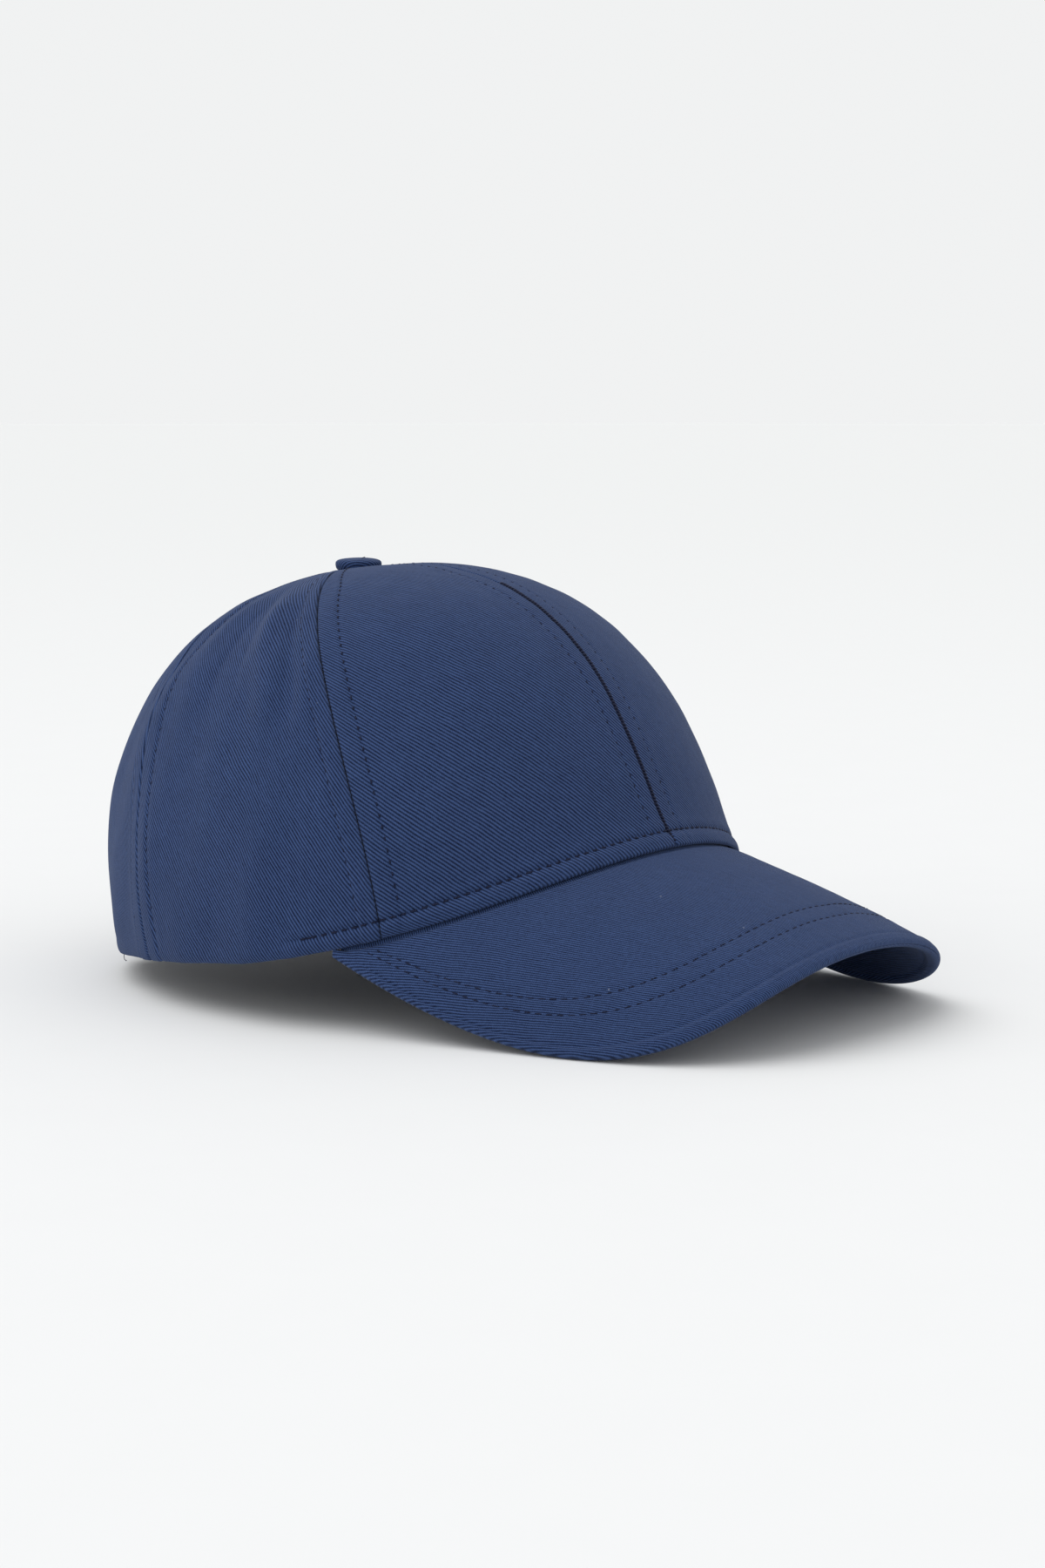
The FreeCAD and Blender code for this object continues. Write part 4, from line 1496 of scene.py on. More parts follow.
# ---- closure
@dataclass
class Closure:
    """Strap, tab and clasp across the rear opening."""

    shop: Workshop
    finishes: "Finishes"
    thread: Thread = Thread(radius=0.16, stitch=1.9, sink=0.0)
    tilt: float = math.radians(9.4)
    centre: Place = (0.0, 37.0, 14.2)
    strap_radius: float = 81.3
    strap_thick: float = 1.1
    strap_low: float = 2.5
    strap_width: float = 16.0
    strap_root: float = math.radians(-48.0)
    strap_tail: float = math.radians(30.0)
    tail_corner: float = 5.0
    clasp_angle: float = math.radians(20.0)
    tab_end: float = math.radians(18.0)
    tab_thick: float = 0.62
    rib_angle: float = math.radians(-42.0)
    edge_places: tuple[float, ...] = (0.0, 0.25, 0.5, 0.7, 0.75, 0.8, 0.9, 0.95, 0.985, 1.0)

    @property
    def inner_radius(self) -> float:
        """Radius of the strap's inner face."""
        return self.strap_radius - self.strap_thick / 2

    def in_cap(self, points: Array) -> Array:
        """Points moved from the strap's frame to the cap's.

        Args:
            points: Points in the strap's frame.

        Returns:
            The same points in the cap's frame.
        """
        cos, sin = math.cos(-self.tilt), math.sin(-self.tilt)
        turn = np.array([[1, 0, 0], [0, cos, -sin], [0, sin, cos]])
        return points @ turn.T + np.array(self.centre)

    def from_clasp(self, points: Array) -> Array:
        """Points moved from the clasp's frame to the cap's.

        Args:
            points: Points in the clasp's frame.

        Returns:
            The same points in the cap's frame.
        """
        cos, sin = math.cos(-self.clasp_angle), math.sin(-self.clasp_angle)
        turn = np.array([[cos, -sin, 0], [sin, cos, 0], [0, 0, 1]])
        shift = turn @ np.array([0, self.inner_radius, self.strap_low + self.strap_width / 2])
        return self.in_cap(points @ turn.T + shift)

    def build(self) -> None:
        """Make the strap and the tab, and finish the clasp."""
        self.strap()
        self.tab()
        for node, body in (("clasp_frame", Body.CAP), ("clasp_lever", Body.LEVER),
                           ("clasp_pin", Body.CAP)):
            self.softened(node, body)

    def strap(self) -> None:
        """Doubled twill strap with stitched edges and a rounded tail."""
        bend = self.strap_tail - 0.075
        angle = np.concatenate([np.linspace(self.strap_root, bend, 190)[:-1],
                                np.linspace(bend, self.strap_tail - 0.0004, 34)])[:, None]
        share = both_ways(self.edge_places)[None, :]
        to_tail = (self.strap_tail - angle) * self.strap_radius
        to_root = (angle - self.strap_root) * self.strap_radius
        corner = self.tail_corner
        cut = np.clip(corner - to_tail, 0, corner)
        half = self.strap_width / 2 - corner + np.sqrt(corner ** 2 - cut ** 2)
        level = self.strap_low + self.strap_width / 2 + half * share
        from_edge = np.minimum(half * (1 - np.abs(share)), np.minimum(to_tail, to_root + 0.2))
        along = angle * self.strap_radius
        groove = 0.13 * ridge(from_edge, 2.0, 0.5) * stitch_pull(along, 0.35)
        thick = self.strap_thick / 2 * (0.3 + 0.7 * rounded(from_edge, 0.7)) - groove
        outer, inner = (self.in_cap(np.stack(np.broadcast_arrays(
            radius * np.sin(angle), radius * np.cos(angle), level), axis=-1))
                        for radius in (self.strap_radius + thick, self.strap_radius - thick))
        maps = cloth_maps((along, level), (from_edge, along))
        self.shop.make("adjuster_strap_cloth", Shape.sheet(outer, inner, maps),
                       self.finishes.twill(self.rib_angle), Body.STRAP, ("adjuster_strap",))
        straight = (to_tail[:, 0] > corner) & (to_root[:, 0] > 1.0)
        normals = unit(outer - inner)
        rows = [self.thread.sew(face[straight, column], normals[straight, column] * turn,
                                column + turn)
                for turn, face in ((1, outer), (-1, inner)) for column in (5, 13)]
        tail_row = int(np.argmin(np.abs(to_tail[:, 0] - 2.4)))
        across = slice(6, 13)
        rows.append(self.thread.sew(outer[tail_row, across], normals[tail_row, across], 77))
        self.shop.make("strap_stitching", Shape.joined(rows), self.finishes.thread(), Body.STRAP)

    def tab_line(self) -> Array:
        """Middle line of the tab's folded cloth.

        Returns:
            Points in the clasp's frame, sideways and outwards.
        """
        half = self.tab_thick / 2 + 0.02
        upper, lower = self.inner_radius - 0.4 - half, self.inner_radius - 1.8 + half
        out = [(upper * math.sin(a), upper * math.cos(a) - self.inner_radius)
               for a in np.linspace(self.tab_end, 0.075, 24)]
        loop = [(4.9, -0.85), (4.36, -1.3), (4.34, -2.9), (4.9, -3.33), (6.5, -3.33), (9.3, -3.33),
                (11.0, -3.05), (12.3, -2.72)]
        back = [(lower * math.sin(a), lower * math.cos(a) - self.inner_radius)
                for a in np.linspace(0.172, self.tab_end, 22)]
        return eased(np.array(out + loop + back), 3)

    def tab(self) -> None:
        """Short loop of cloth that holds the clasp."""
        line = self.tab_line()
        ahead = unit(np.gradient(line, axis=0))
        aside = np.stack([ahead[:, 1], -ahead[:, 0]], axis=-1)
        share = both_ways(self.edge_places)[None, :]
        half = self.strap_width / 2 - 0.1
        from_edge = half * (1 - np.abs(share))
        thick = self.tab_thick / 2 * (0.35 + 0.65 * rounded(from_edge, 0.5))
        faces = []
        for turn in (1, -1):
            flat = line[:, None] + aside[:, None] * (turn * thick)[..., None]
            level = np.broadcast_to(half * share, flat.shape[:2])
            faces.append(self.from_clasp(np.concatenate([flat, level[..., None]], axis=-1)))
        along = travelled(line)[:, None]
        maps = cloth_maps((along, half * share), (from_edge, along))
        self.shop.make("strap_tab_cloth", Shape.sheet(*faces, maps),
                       self.finishes.twill(self.rib_angle), Body.CAP, ("strap_tab",))
        reach = slice(4, int(len(line) * 0.38))
        upper, lower = faces[::-1] if aside[10, 1] < 0 else faces
        outwards = unit(upper - lower)
        rows = [self.thread.sew(upper[reach, column], outwards[reach, column], column)
                for column in (4, 14)]
        self.shop.make("tab_stitching", Shape.joined(rows), self.finishes.thread(), Body.CAP)

    def softened(self, node: str, body: Body) -> None:
        """Metal part with its edges broken, standing for its plain node.

        Args:
            node: The plain node.
            body: The body that it moves with.
        """
        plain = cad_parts[node]
        mesh = plain.data.copy()
        mesh.materials.clear()
        mesh.materials.append(self.finishes.brass())
        piece = bpy.data.objects.new(f"{node}_metal", mesh)
        bpy.context.scene.collection.objects.link(piece)
        edge = piece.modifiers.new("broken_edges", "BEVEL")
        edge.width = 0.18 * MM
        edge.segments = 2
        edge.limit_method = "ANGLE"
        edge.angle_limit = math.radians(50)
        edge.use_clamp_overlap = True
        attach(piece, body.value)
        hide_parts(node)


@dataclass(frozen=True)
class LooseEnds:
    """Short ends of thread left on a seam, each a line of points."""

    shop: Workshop
    finishes: "Finishes"
    radius: float = 0.1

    def build(self) -> None:
        """Make the ends at the rear of the hem and on the button."""
        form = CrownForm()
        hem = form.hem(np.array(math.radians(-128.0)))
        ends = hem + [(0.4, 0, 1.4), (-0.2, 0, 0.2), (-0.7, -0.5, -0.9), (-0.6, -1.2, -1.5),
                      (-1.2, -2.0, -1.1)]
        button = np.array([-2.2, form.top_y - 3.2, 119.25])
        fluff = button + [(0, 0, 0), (0.5, -0.3, 0.35), (1.2, -0.2, 0.4), (1.7, 0.3, 0.1)]
        shapes = [self.strand(line) for line in (ends, fluff)]
        self.shop.make("loose_thread_ends", Shape.joined(shapes), self.finishes.thread(), Body.CAP)

    def strand(self, line: Array) -> Shape:
        """Thin round strand.

        Args:
            line: Points that it passes.

        Returns:
            Its closed shape.
        """
        line = eased(line, 2)
        ahead = unit(np.gradient(line, axis=0))
        side = unit(np.cross(ahead, [0.3, 0.2, 1.0]))
        up = np.cross(side, ahead)
        turns = np.linspace(0, FULL_TURN, 7)[:-1]
        rings = line[:, None] + self.radius * (side[:, None] * np.cos(turns)[None, :, None]
                                               + up[:, None] * np.sin(turns)[None, :, None])
        number = np.arange(rings[..., 0].size).reshape(rings.shape[:2])
        after = np.roll(number, -1, axis=1)
        faces = np.stack([number[:-1], after[:-1], after[1:], number[1:]], -1)
        caps = [number[0, ::-1].tolist(), number[-1].tolist()]
        cloth = np.stack(np.broadcast_arrays(travelled(line)[:, None], turns * self.radius), -1)
        return Shape(rings.reshape(-1, 3), faces.reshape(-1, 4).tolist() + caps,
                     {"cloth": cloth.reshape(-1, 2) / CLOTH_UV_UNIT})


# ---- finishes
def tone(red: int, green: int, blue: int) -> Colour:
    """Linear colour of a swatch.

    Args:
        red: Its red, from 0 to 255.
        green: Its green.
        blue: Its blue.

    Returns:
        The colour with full cover.
    """
    parts = [value / 255 for value in (red, green, blue)]
    red_part, green_part, blue_part = (
        part / 12.92 if part <= 0.04045 else ((part + 0.055) / 1.055) ** 2.4 for part in parts)
    return red_part, green_part, blue_part, 1.0


class Graph:
    """Lays out the nodes of one material or effect."""

    def __init__(self, tree: bpy.types.NodeTree) -> None:
        """Start on a node tree."""
        self.tree = tree

    @classmethod
    def surface(cls, name: str) -> tuple[Material, "Graph", bpy.types.NodeInputs]:
        """Start a new material.

        Args:
            name: Name of the material.

        Returns:
            The material, its graph and the sockets of its surface.
        """
        material = bpy.data.materials.new(name)
        material.use_nodes = True
        shader = material.node_tree.nodes["Principled BSDF"]
        return material, cls(material.node_tree), shader.inputs

    def add(self, kind: str, **settings: object) -> bpy.types.Node:
        """Add a node.

        Args:
            kind: Its type.
            settings: Its properties by name.

        Returns:
            The node.
        """
        node = self.tree.nodes.new(kind)
        for name, value in settings.items():
            setattr(node, name, value)
        return node

    def feed(self, target: Socket, value: object) -> None:
        """Give a socket its value.

        Args:
            target: The socket.
            value: A socket to link, or a plain value.
        """
        if isinstance(value, bpy.types.NodeSocket):
            self.tree.links.new(value, target)
        else:
            target.default_value = value

    def fed(self, node: bpy.types.Node, *values: object) -> Socket:
        """Give a node its first inputs.

        Args:
            node: The node.
            values: One value for each input.

        Returns:
            The node's first output.
        """
        for socket, value in zip(node.inputs, values):
            self.feed(socket, value)
        return node.outputs[0]

    def maths(self, operation: str, *values: object) -> Socket:
        """One sum on numbers or sockets."""
        return self.fed(self.add("ShaderNodeMath", operation=operation), *values)

    def point(self, x: object, y: object, z: object = 0.0) -> Socket:
        """Vector from three numbers."""
        return self.fed(self.add("ShaderNodeCombineXYZ"), x, y, z)

    def clamp(self, value: Socket) -> Socket:
        """Number kept between 0 and 1."""
        return self.fed(self.add("ShaderNodeClamp"), value)

    def parts(self, vector: Socket) -> bpy.types.NodeOutputs:
        """The three numbers of a vector."""
        return self.fed(self.add("ShaderNodeSeparateXYZ"), vector).node.outputs

    def wave(self, turn: Socket) -> Socket:
        """Sine wave from 0 to 1."""
        return self.maths("MULTIPLY_ADD", self.maths("SINE", turn), 0.5, 0.5)

    def stirred(self, value: Socket, noise: Socket, amount: float) -> Socket:
        """Value moved up and down by a noise."""
        change = self.maths("MULTIPLY", self.maths("SUBTRACT", noise, 0.5), amount)
        return self.maths("ADD", value, change)

    def blend(self, share: object, first: object, second: object) -> Socket:
        """Mix of two colours.

        Args:
            share: Share of the second colour.
            first: First colour.
            second: Second colour.

        Returns:
            The mixed colour.
        """
        node = self.add("ShaderNodeMix", data_type="RGBA")
        for place, value in ((0, share), (6, first), (7, second)):
            self.feed(node.inputs[place], value)
        return node.outputs[2]

    def noise(self, place: Socket, scale: float, detail: float = 2.0,
              roughness: float = 0.5) -> Socket:
        """Cloudy numbers from 0 to 1.

        Args:
            place: Where they are read.
            scale: Clouds in one unit of the place.
            detail: Layers of finer clouds.
            roughness: Strength of the finer layers.

        Returns:
            The numbers.
        """
        node = self.add("ShaderNodeTexNoise")
        self.feed(node.inputs["Vector"], place)
        for name, value in (("Scale", scale), ("Detail", detail), ("Roughness", roughness)):
            node.inputs[name].default_value = value
        return node.outputs[0]

    def bump(self, height: Socket, distance: float, strength: float = 1.0) -> Socket:
        """Fine relief of a surface.

        Args:
            height: Heights from 0 to 1.
            distance: Size of the relief in metres.
            strength: How much of it shows.

        Returns:
            The surface's normals.
        """
        node = self.add("ShaderNodeBump")
        node.inputs["Strength"].default_value = strength
        node.inputs["Distance"].default_value = distance
        self.feed(node.inputs["Height"], height)
        return node.outputs[0]

    def group(self, tree: bpy.types.NodeTree, **values: object) -> bpy.types.Node:
        """Place a shared effect.

        Args:
            tree: The effect.
            values: Its inputs, with underscores for spaces.

        Returns:
            The effect's node.
        """
        node = self.add("ShaderNodeGroup", node_tree=tree)
        for name, value in values.items():
            self.feed(node.inputs[name.replace("_", " ")], value)
        return node


class Effects:
    """Shared effects, each a node group made once."""

    def __init__(self) -> None:
        """Make every effect."""
        self.weave = self.twill_weave()
        self.wear = self.edge_wear()
        self.twist = self.yarn_twist()

    @staticmethod
    def start(name: str, numbers: dict[str, float],
              outputs: tuple[str, ...]) -> tuple[Graph, Socket, dict, dict]:
        """Open a group with a place, some numbers and some outputs.

        Args:
            name: Name of the effect.
            numbers: Names and usual values of its number inputs.
            outputs: Names of its outputs.

        Returns:
            The graph, its place input, its number inputs and its output sockets.
        """
        tree = bpy.data.node_groups.new(name, "ShaderNodeTree")
        tree.interface.new_socket(name="Place", in_out="INPUT", socket_type="NodeSocketVector")
        for label, value in numbers.items():
            socket = tree.interface.new_socket(name=label, in_out="INPUT",
                                               socket_type="NodeSocketFloat")
            socket.default_value = value
        for label in outputs:
            tree.interface.new_socket(name=label, in_out="OUTPUT", socket_type="NodeSocketFloat")
        entry = tree.nodes.new("NodeGroupInput")
        leave = tree.nodes.new("NodeGroupOutput")
        return (Graph(tree), entry.outputs["Place"],
                {label: entry.outputs[label] for label in numbers},
                {label: leave.inputs[label] for label in outputs})

    def twill_weave(self) -> bpy.types.NodeTree:
        """Slanting ribs of twill with uneven yarns.

        Returns:
            The effect, with Height, Shade and Fleck.
        """
        graph, place, number, out = self.start(
            "twill_weave", {"Rib Angle": 0.7, "Rib Pitch": 0.9, "Waviness": 0.5},
            ("Height", "Shade", "Fleck"))
        scaled = graph.add("ShaderNodeVectorMath", operation="SCALE")
        graph.feed(scaled.inputs[0], place)
        scaled.inputs["Scale"].default_value = CLOTH_UV_UNIT
        flat = scaled.outputs[0]
        turned = graph.add("ShaderNodeVectorRotate", rotation_type="Z_AXIS")
        graph.feed(turned.inputs["Vector"], flat)
        graph.feed(turned.inputs["Angle"], graph.maths("MULTIPLY", number["Rib Angle"], -1.0))
        along, sideways, _ = graph.parts(turned.outputs[0])
        wander = graph.maths("SUBTRACT", graph.noise(flat, 0.07, 2.0, 0.5), 0.5)
        across = graph.maths("MULTIPLY_ADD", wander, number["Waviness"], sideways)
        ribs = graph.maths("DIVIDE", across, number["Rib Pitch"])
        rib = graph.wave(graph.maths("MULTIPLY", ribs, FULL_TURN))
        yarns = graph.maths("MULTIPLY_ADD", across, 0.9, along)
        yarn = graph.wave(graph.maths("MULTIPLY", yarns, 11.5))
        streak = graph.noise(graph.point(graph.maths("MULTIPLY", along, 0.16), ribs), 1.0, 2.0, 0.6)
        slub = graph.noise(flat, 0.9, 3.0, 0.65)
        fuzz = graph.noise(flat, 3.1, 2.0, 0.6)
        floats = graph.maths("MULTIPLY", rib, graph.maths("MULTIPLY_ADD", yarn, 0.35, 0.65))
        height = graph.maths("MULTIPLY_ADD", streak, 0.3, floats)
        graph.feed(out["Height"], graph.maths("MULTIPLY_ADD", fuzz, 0.3, height))
        shade = graph.maths("MULTIPLY_ADD", floats, 0.95, -0.07)
        shade = graph.maths("MULTIPLY_ADD", streak, 0.36, shade)
        shade = graph.stirred(graph.stirred(shade, slub, 0.4), fuzz, 0.75)
        graph.feed(out["Shade"], graph.clamp(shade))
        cells = graph.add("ShaderNodeTexVoronoi", feature="F1")
        graph.feed(cells.inputs["Vector"], flat)
        cells.inputs["Scale"].default_value = 0.085
        near = graph.maths("LESS_THAN", cells.outputs["Distance"], 0.022)
        some = graph.maths("GREATER_THAN", slub, 0.47)
        graph.feed(out["Fleck"], graph.maths("MULTIPLY", near, some))
        return graph.tree

    def edge_wear(self) -> bpy.types.NodeTree:
        """Rubbed look, strongest on the folded edges of the cloth.

        Returns:
            The effect, with Wear.
        """
        graph, place, number, out = self.start("edge_wear", {"Reach": 1.0}, ("Wear",))
        away = graph.maths("MULTIPLY", graph.parts(place)[0], CLOTH_UV_UNIT)
        reached = graph.maths("DIVIDE", away, number["Reach"])
        fade = graph.maths("POWER", 2.718, graph.maths("MULTIPLY", reached, -1.0))
        rubbed = graph.maths("MULTIPLY_ADD", graph.noise(place, 14.0, 3.0, 0.6), 1.5, -0.3)
        graph.feed(out["Wear"], graph.maths("MULTIPLY", fade, rubbed))
        return graph.tree

    def yarn_twist(self) -> bpy.types.NodeTree:
        """Slanting twist of sewing thread.

        Returns:
            The effect, with Height and Shade.
        """
        graph, place, number, out = self.start("yarn_twist", {"Twists": 8.0}, ("Height", "Shade"))
        along, around, _ = graph.parts(place)
        slant = graph.maths("MULTIPLY_ADD", around, 1.3, along)
        pace = graph.maths("MULTIPLY", number["Twists"], CLOTH_UV_UNIT)
        twist = graph.wave(graph.maths("MULTIPLY", slant, pace))
        graph.feed(out["Height"], twist)
        graph.feed(out["Shade"], graph.maths("MULTIPLY_ADD", graph.noise(place, 300.0), 0.5,
                                             graph.maths("MULTIPLY", twist, 0.5)))
        return graph.tree


@dataclass(frozen=True)
class ClothFinish:
    """Woven cloth of two tones, with its ribs, nap and rubbed edges."""

    name: str
    dark: Colour
    light: Colour
    worn: Colour
    rib_angle: float
    rib_pitch: float = 0.9
    waviness: float = 1.1
    relief: float = 0.00014
    wear: float = 0.16
    sheen: float = 0.08
    roughness: float = 0.9
    lint: float = 0.2
    lint_tone: Colour = tone(176, 180, 190)
    sheen_tint: Colour = (0.72, 0.8, 1.0, 1.0)

    def material(self, effects: Effects) -> Material:
        """Make the material.

        Args:
            effects: The shared effects.

        Returns:
            The finished material.
        """
        material, graph, surface = Graph.surface(self.name)
        cloth = graph.add("ShaderNodeUVMap", uv_map="cloth").outputs[0]
        edges = graph.add("ShaderNodeUVMap", uv_map="edges").outputs[0]
        weave = graph.group(effects.weave, Place=cloth, Rib_Angle=self.rib_angle,
                            Rib_Pitch=self.rib_pitch, Waviness=self.waviness)
        shade = weave.outputs["Shade"]
        wear = graph.group(effects.wear, Place=edges, Reach=0.9)
        colour = graph.blend(shade, self.dark, self.light)
        clouds = graph.noise(cloth, 4.0, 3.0, 0.6)
        colour = graph.blend(graph.maths("MULTIPLY", clouds, 0.22), colour, self.dark)
        rubbed = graph.clamp(graph.maths("MULTIPLY", wear.outputs[0], self.wear))
        colour = graph.blend(rubbed, colour, self.worn)
        lint = graph.maths("MULTIPLY", weave.outputs["Fleck"], self.lint)
        graph.feed(surface["Base Color"], graph.blend(lint, colour, self.lint_tone))
        rough = graph.maths("MULTIPLY_ADD", shade, -0.08, self.roughness + 0.05)
        graph.feed(surface["Roughness"], rough)
        graph.feed(surface["Normal"], graph.bump(weave.outputs["Height"], self.relief, 0.8))
        surface["Sheen Weight"].default_value = self.sheen
        surface["Sheen Roughness"].default_value = 0.45
        surface["Sheen Tint"].default_value = self.sheen_tint
        surface["Specular IOR Level"].default_value = 0.14
        return material


@dataclass(frozen=True)
class ThreadFinish:
    """Polyester sewing thread, twisted and slightly glossy."""

    name: str = "navy_thread"
    dark: Colour = tone(6, 11, 30)
    light: Colour = tone(20, 30, 64)

    def material(self, effects: Effects) -> Material:
        """Make the material.

        Args:
            effects: The shared effects.

        Returns:
            The finished material.
        """
        material, graph, surface = Graph.surface(self.name)
        cloth = graph.add("ShaderNodeUVMap", uv_map="cloth").outputs[0]
        twist = graph.group(effects.twist, Place=cloth, Twists=9.0)
        shade = twist.outputs["Shade"]
        graph.feed(surface["Base Color"], graph.blend(shade, self.dark, self.light))
        graph.feed(surface["Roughness"], graph.maths("MULTIPLY_ADD", shade, 0.15, 0.5))
        graph.feed(surface["Normal"], graph.bump(twist.outputs["Height"], 0.00008))
        surface["Specular IOR Level"].default_value = 0.2
        return material


@dataclass(frozen=True)
class MetalFinish:
    """Plated metal with fine brushing and dull patches."""

    name: str
    bright: Colour
    dull: Colour
    roughness: float = 0.32

    def material(self) -> Material:
        """Make the material.

        Returns:
            The finished material.
        """
        material, graph, surface = Graph.surface(self.name)
        place = graph.add("ShaderNodeTexCoord").outputs["Object"]
        stretch = graph.add("ShaderNodeMapping")
        graph.feed(stretch.inputs["Vector"], place)
        stretch.inputs["Scale"].default_value = (260.0, 260.0, 5200.0)
        brushed = graph.noise(stretch.outputs[0], 1.0, 3.0, 0.6)
        patches = graph.noise(place, 330.0, 4.0, 0.65)
        share = graph.maths("MULTIPLY_ADD", brushed, 0.4, graph.maths("MULTIPLY", patches, 0.6))
        graph.feed(surface["Base Color"], graph.blend(share, self.bright, self.dull))
        graph.feed(surface["Roughness"],
                   graph.maths("MULTIPLY_ADD", share, 0.3, self.roughness - 0.12))
        graph.feed(surface["Normal"], graph.bump(brushed, 0.00003, 0.25))
        surface["Metallic"].default_value = 1.0
        return material


@dataclass(frozen=True)
class BoardFinish:
    """Grey plastic with a fine grain."""

    name: str = "brim_board_plastic"
    dark: Colour = tone(176, 178, 180)
    light: Colour = tone(212, 213, 214)

    def material(self) -> Material:
        """Make the material.

        Returns:
            The finished material.
        """
        material, graph, surface = Graph.surface(self.name)
        grain = graph.noise(graph.add("ShaderNodeTexCoord").outputs["Object"], 900.0, 3.0)
        graph.feed(surface["Base Color"], graph.blend(grain, self.dark, self.light))
        graph.feed(surface["Roughness"], graph.maths("MULTIPLY_ADD", grain, 0.2, 0.45))
        return material


class Finishes:
    """Every finish of the cap, made when first asked for."""

    def __init__(self) -> None:
        """Start with the shared effects and no materials."""
        self.effects = Effects()
        self.made: dict[str, Material] = {}

    def once(self, name: str, make: Callable[[], Material]) -> Material:
        """Material made when first asked for.

        Args:
            name: Name of the material.
            make: What makes it.

        Returns:
            The material, the same one each time.
        """
        if name not in self.made:
            self.made[name] = make()
        return self.made[name]

    def cloth(self, finish: ClothFinish) -> Material:
        """Material of a cloth finish."""
        return self.once(finish.name, lambda: finish.material(self.effects))

    def twill(self, rib_angle: float, rib_pitch: float = 0.9) -> Material:
        """Make navy cotton twill.

        Args:
            rib_angle: Direction of the ribs from the level, in radians.
            rib_pitch: Distance from rib to rib.

        Returns:
            The material, shared by all pieces cut the same way.
        """
        lean = round(math.degrees(rib_angle)) % 180
        name = f"navy_twill_{lean:03d}_{round(rib_pitch * 100):03d}"
        return self.cloth(ClothFinish(name, tone(2, 10, 36), tone(63, 85, 131), tone(80, 102, 147),
                                      rib_angle, rib_pitch))

    def tape(self) -> Material:
        """Plain cotton tape of the lining."""
        return self.cloth(ClothFinish("navy_cotton_tape", tone(20, 27, 46), tone(52, 63, 92),
                                      tone(60, 72, 100), math.radians(90), 0.6, 0.15, 0.00012, 0.3))

    def sweatband(self) -> Material:
        """Soft brushed cotton of the sweatband."""
        return self.cloth(ClothFinish("navy_sweatband", tone(24, 33, 56), tone(62, 76, 108),
                                      tone(78, 92, 124), math.radians(-35), 0.7, 0.5,
                                      0.00014, 0.35, 0.3))

    def stiffener(self) -> Material:
        """Open-mesh buckram."""
        return self.cloth(ClothFinish("black_buckram", tone(16, 18, 24), tone(58, 62, 72),
                                      tone(60, 64, 74), 0.0, 1.3, 0.1, 0.0003, 0.1, 0.05))

    def satin(self) -> Material:
        """White satin of the blank label."""
        return self.cloth(ClothFinish("white_satin", tone(205, 204, 198), tone(238, 237, 232),
                                      tone(225, 223, 215), 0.0, 0.35, 0.05, 0.00003, 0.3, 0.1, 0.5))

    def thread(self) -> Material:
        """Navy sewing thread."""
        finish = ThreadFinish()
        return self.once(finish.name, lambda: finish.material(self.effects))

    def metal(self, finish: MetalFinish) -> Material:
        """Material of a metal finish."""
        return self.once(finish.name, finish.material)

    def brass(self) -> Material:
        """Antique brass of the clasp."""
        return self.metal(MetalFinish("antique_brass", tone(206, 170, 112), tone(120, 92, 58)))

    def steel(self) -> Material:
        """Plated steel of the button's metal parts."""
        return self.metal(MetalFinish("plated_steel", tone(214, 216, 220), tone(150, 152, 156)))

    def board(self) -> Material:
        """Grey board inside the brim."""
        finish = BoardFinish()
        return self.once(finish.name, finish.material)


# ---- studio
class LightKind(Enum):
    """Kinds of light."""

    SUN = "SUN"
    AREA = "AREA"


def facing(place: Place, aim: Place) -> Euler:
    """Turn of a light or camera that looks from a place to an aim."""
    return (Vector(aim) - Vector(place)).to_track_quat("-Z", "Y").to_euler()


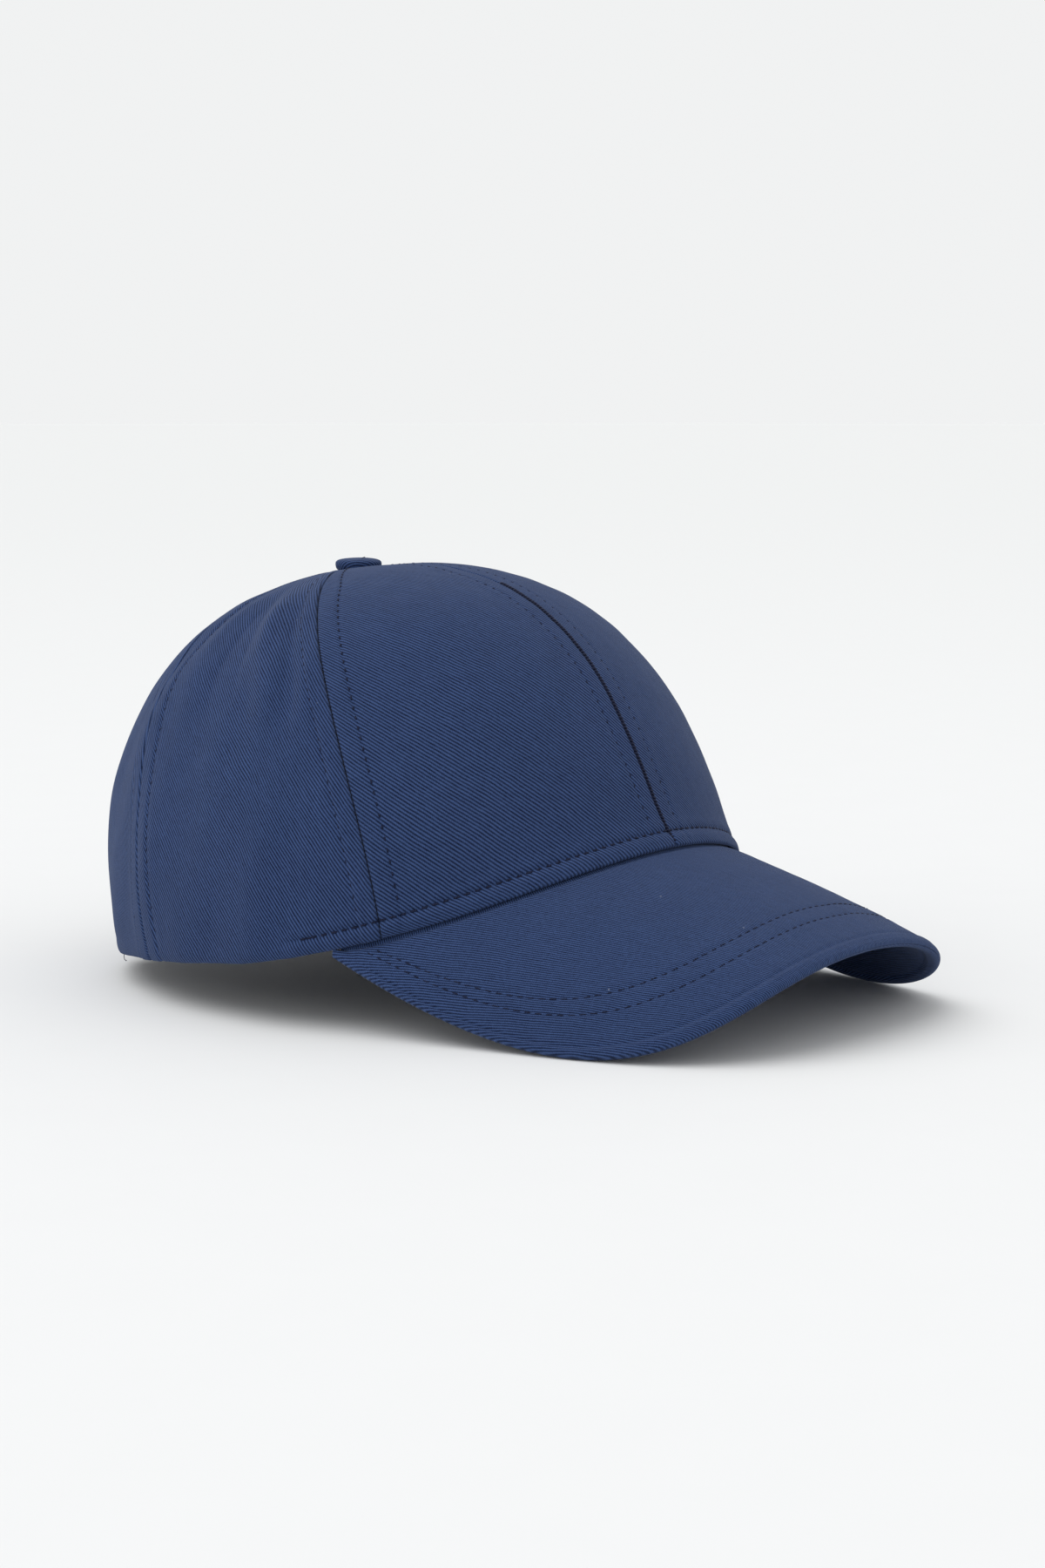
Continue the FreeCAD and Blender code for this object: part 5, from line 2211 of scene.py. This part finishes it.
@dataclass(frozen=True)
class Studio:
    """Pale floor, soft light and the camera."""

    floor_radius: float = 14.0
    surround: Place = (0.877, 0.886, 0.888)
    camera_place: Place = (-0.6830, -0.5609, 0.1689)
    camera_aim: Place = (0.0107, 0.0014, 0.0558)
    lens: float = 72.07

    def build(self) -> None:
        """Set up floor, light and camera."""
        scene = bpy.context.scene
        scene.view_settings.view_transform = "Standard"
        self.floor()
        world = bpy.data.worlds.new("surround")
        world.use_nodes = True
        world.node_tree.nodes["Background"].inputs["Color"].default_value = (*self.surround, 1.0)
        scene.world = world
        self.light("overhead", LightKind.SUN, (-0.4, 0.3, 1.0), (0.0, 0.0, 0.0), energy=1.2,
                   angle=math.radians(60))
        self.light("rear_left", LightKind.AREA, (-1.5, 1.1, 0.35), (0.0, 0.0, 0.05), energy=3.0,
                   size=0.8)
        camera = bpy.data.objects.new("camera", bpy.data.cameras.new("camera"))
        camera.data.lens = self.lens
        camera.data.sensor_width = 36.0
        camera.data.clip_start = 0.01
        camera.location = self.camera_place
        camera.rotation_euler = facing(self.camera_place, self.camera_aim)
        scene.collection.objects.link(camera)
        scene.camera = camera

    def floor(self) -> None:
        """Wide pale floor under the cap, with a painted falloff of light: its colour is lighter
        near the cap and darker far off.
        """
        around = np.linspace(0, FULL_TURN, 65)[:-1]
        rings = (0.25, 0.8, 2.5, 7.0, self.floor_radius)
        points = [(radius * math.cos(a), radius * math.sin(a), 0.0)
                  for radius in rings for a in around]
        number = np.arange(len(points)).reshape(len(rings), -1)
        after = np.roll(number, -1, axis=1)
        faces = np.stack([number[1:], after[1:], after[:-1], number[:-1]], -1).reshape(-1, 4)
        mesh = bpy.data.meshes.new("floor")
        mesh.from_pydata(points, [], [*faces.tolist(), number[0].tolist()])
        material, graph, surface = Graph.surface("pale_floor")
        place = graph.add("ShaderNodeTexCoord").outputs["Object"]
        grain = graph.noise(place, 40.0, 2.0)
        near = graph.blend(grain, (0.752, 0.755, 0.758, 1.0), (0.762, 0.765, 0.768, 1.0))
        # Painted light falloff: the floor's colour darkens with distance from the cap, standing in
        # for light fading toward the horizon.
        reach = graph.add("ShaderNodeVectorMath", operation="LENGTH")
        graph.feed(reach.inputs[0], place)
        away = graph.add("ShaderNodeMapRange", interpolation_type="SMOOTHSTEP")
        graph.feed(away.inputs["Value"], graph.maths("LOGARITHM", reach.outputs["Value"], 10.0))
        away.inputs["From Min"].default_value = -0.6
        away.inputs["From Max"].default_value = 0.75
        graph.feed(surface["Base Color"],
                   graph.blend(away.outputs[0], near, (0.722, 0.727, 0.725, 1.0)))
        surface["Roughness"].default_value = 0.85
        surface["Specular IOR Level"].default_value = 0.1
        mesh.materials.append(material)
        floor = bpy.data.objects.new("floor", mesh)
        floor.location.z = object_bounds()[0].z - 0.0001
        bpy.context.scene.collection.objects.link(floor)
        floor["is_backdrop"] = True

    @staticmethod
    def light(name: str, kind: LightKind, place: Place, aim: Place, **settings: float) -> None:
        """Soft light on the cap.

        Args:
            name: Name of the light.
            kind: Sun or soft box.
            place: Where it stands, in metres.
            aim: Where it points.
            settings: Its strength and its width by name.
        """
        light = bpy.data.lights.new(name, kind.value)
        for label, value in settings.items():
            setattr(light, label, value)
        lamp = bpy.data.objects.new(name, light)
        lamp.location = place
        lamp.rotation_euler = facing(place, aim)
        bpy.context.scene.collection.objects.link(lamp)


def dress_metal(finishes: Finishes) -> None:
    """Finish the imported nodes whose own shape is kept.

    Args:
        finishes: The cap's finishes.
    """
    for node, material in (("button_shell", finishes.steel()), ("button_rivet", finishes.steel()),
                           ("button_washer", finishes.steel()), ("brim_board", finishes.board())):
        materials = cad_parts[node].data.materials
        materials.clear()
        materials.append(material)


def main() -> None:
    """Build the whole cap and its studio."""
    logging.basicConfig(level=logging.INFO, format="%(message)s")
    finishes = Finishes()
    shop = Workshop()
    for part in (Crown(shop, finishes), Lining(shop, finishes), Brim(shop, finishes),
                 TopButton(shop, finishes), Closure(shop, finishes), LooseEnds(shop, finishes)):
        part.build()
        log.info("%s done", type(part).__name__)
    dress_metal(finishes)
    Studio().build()


if __name__ == "__main__":
    main()
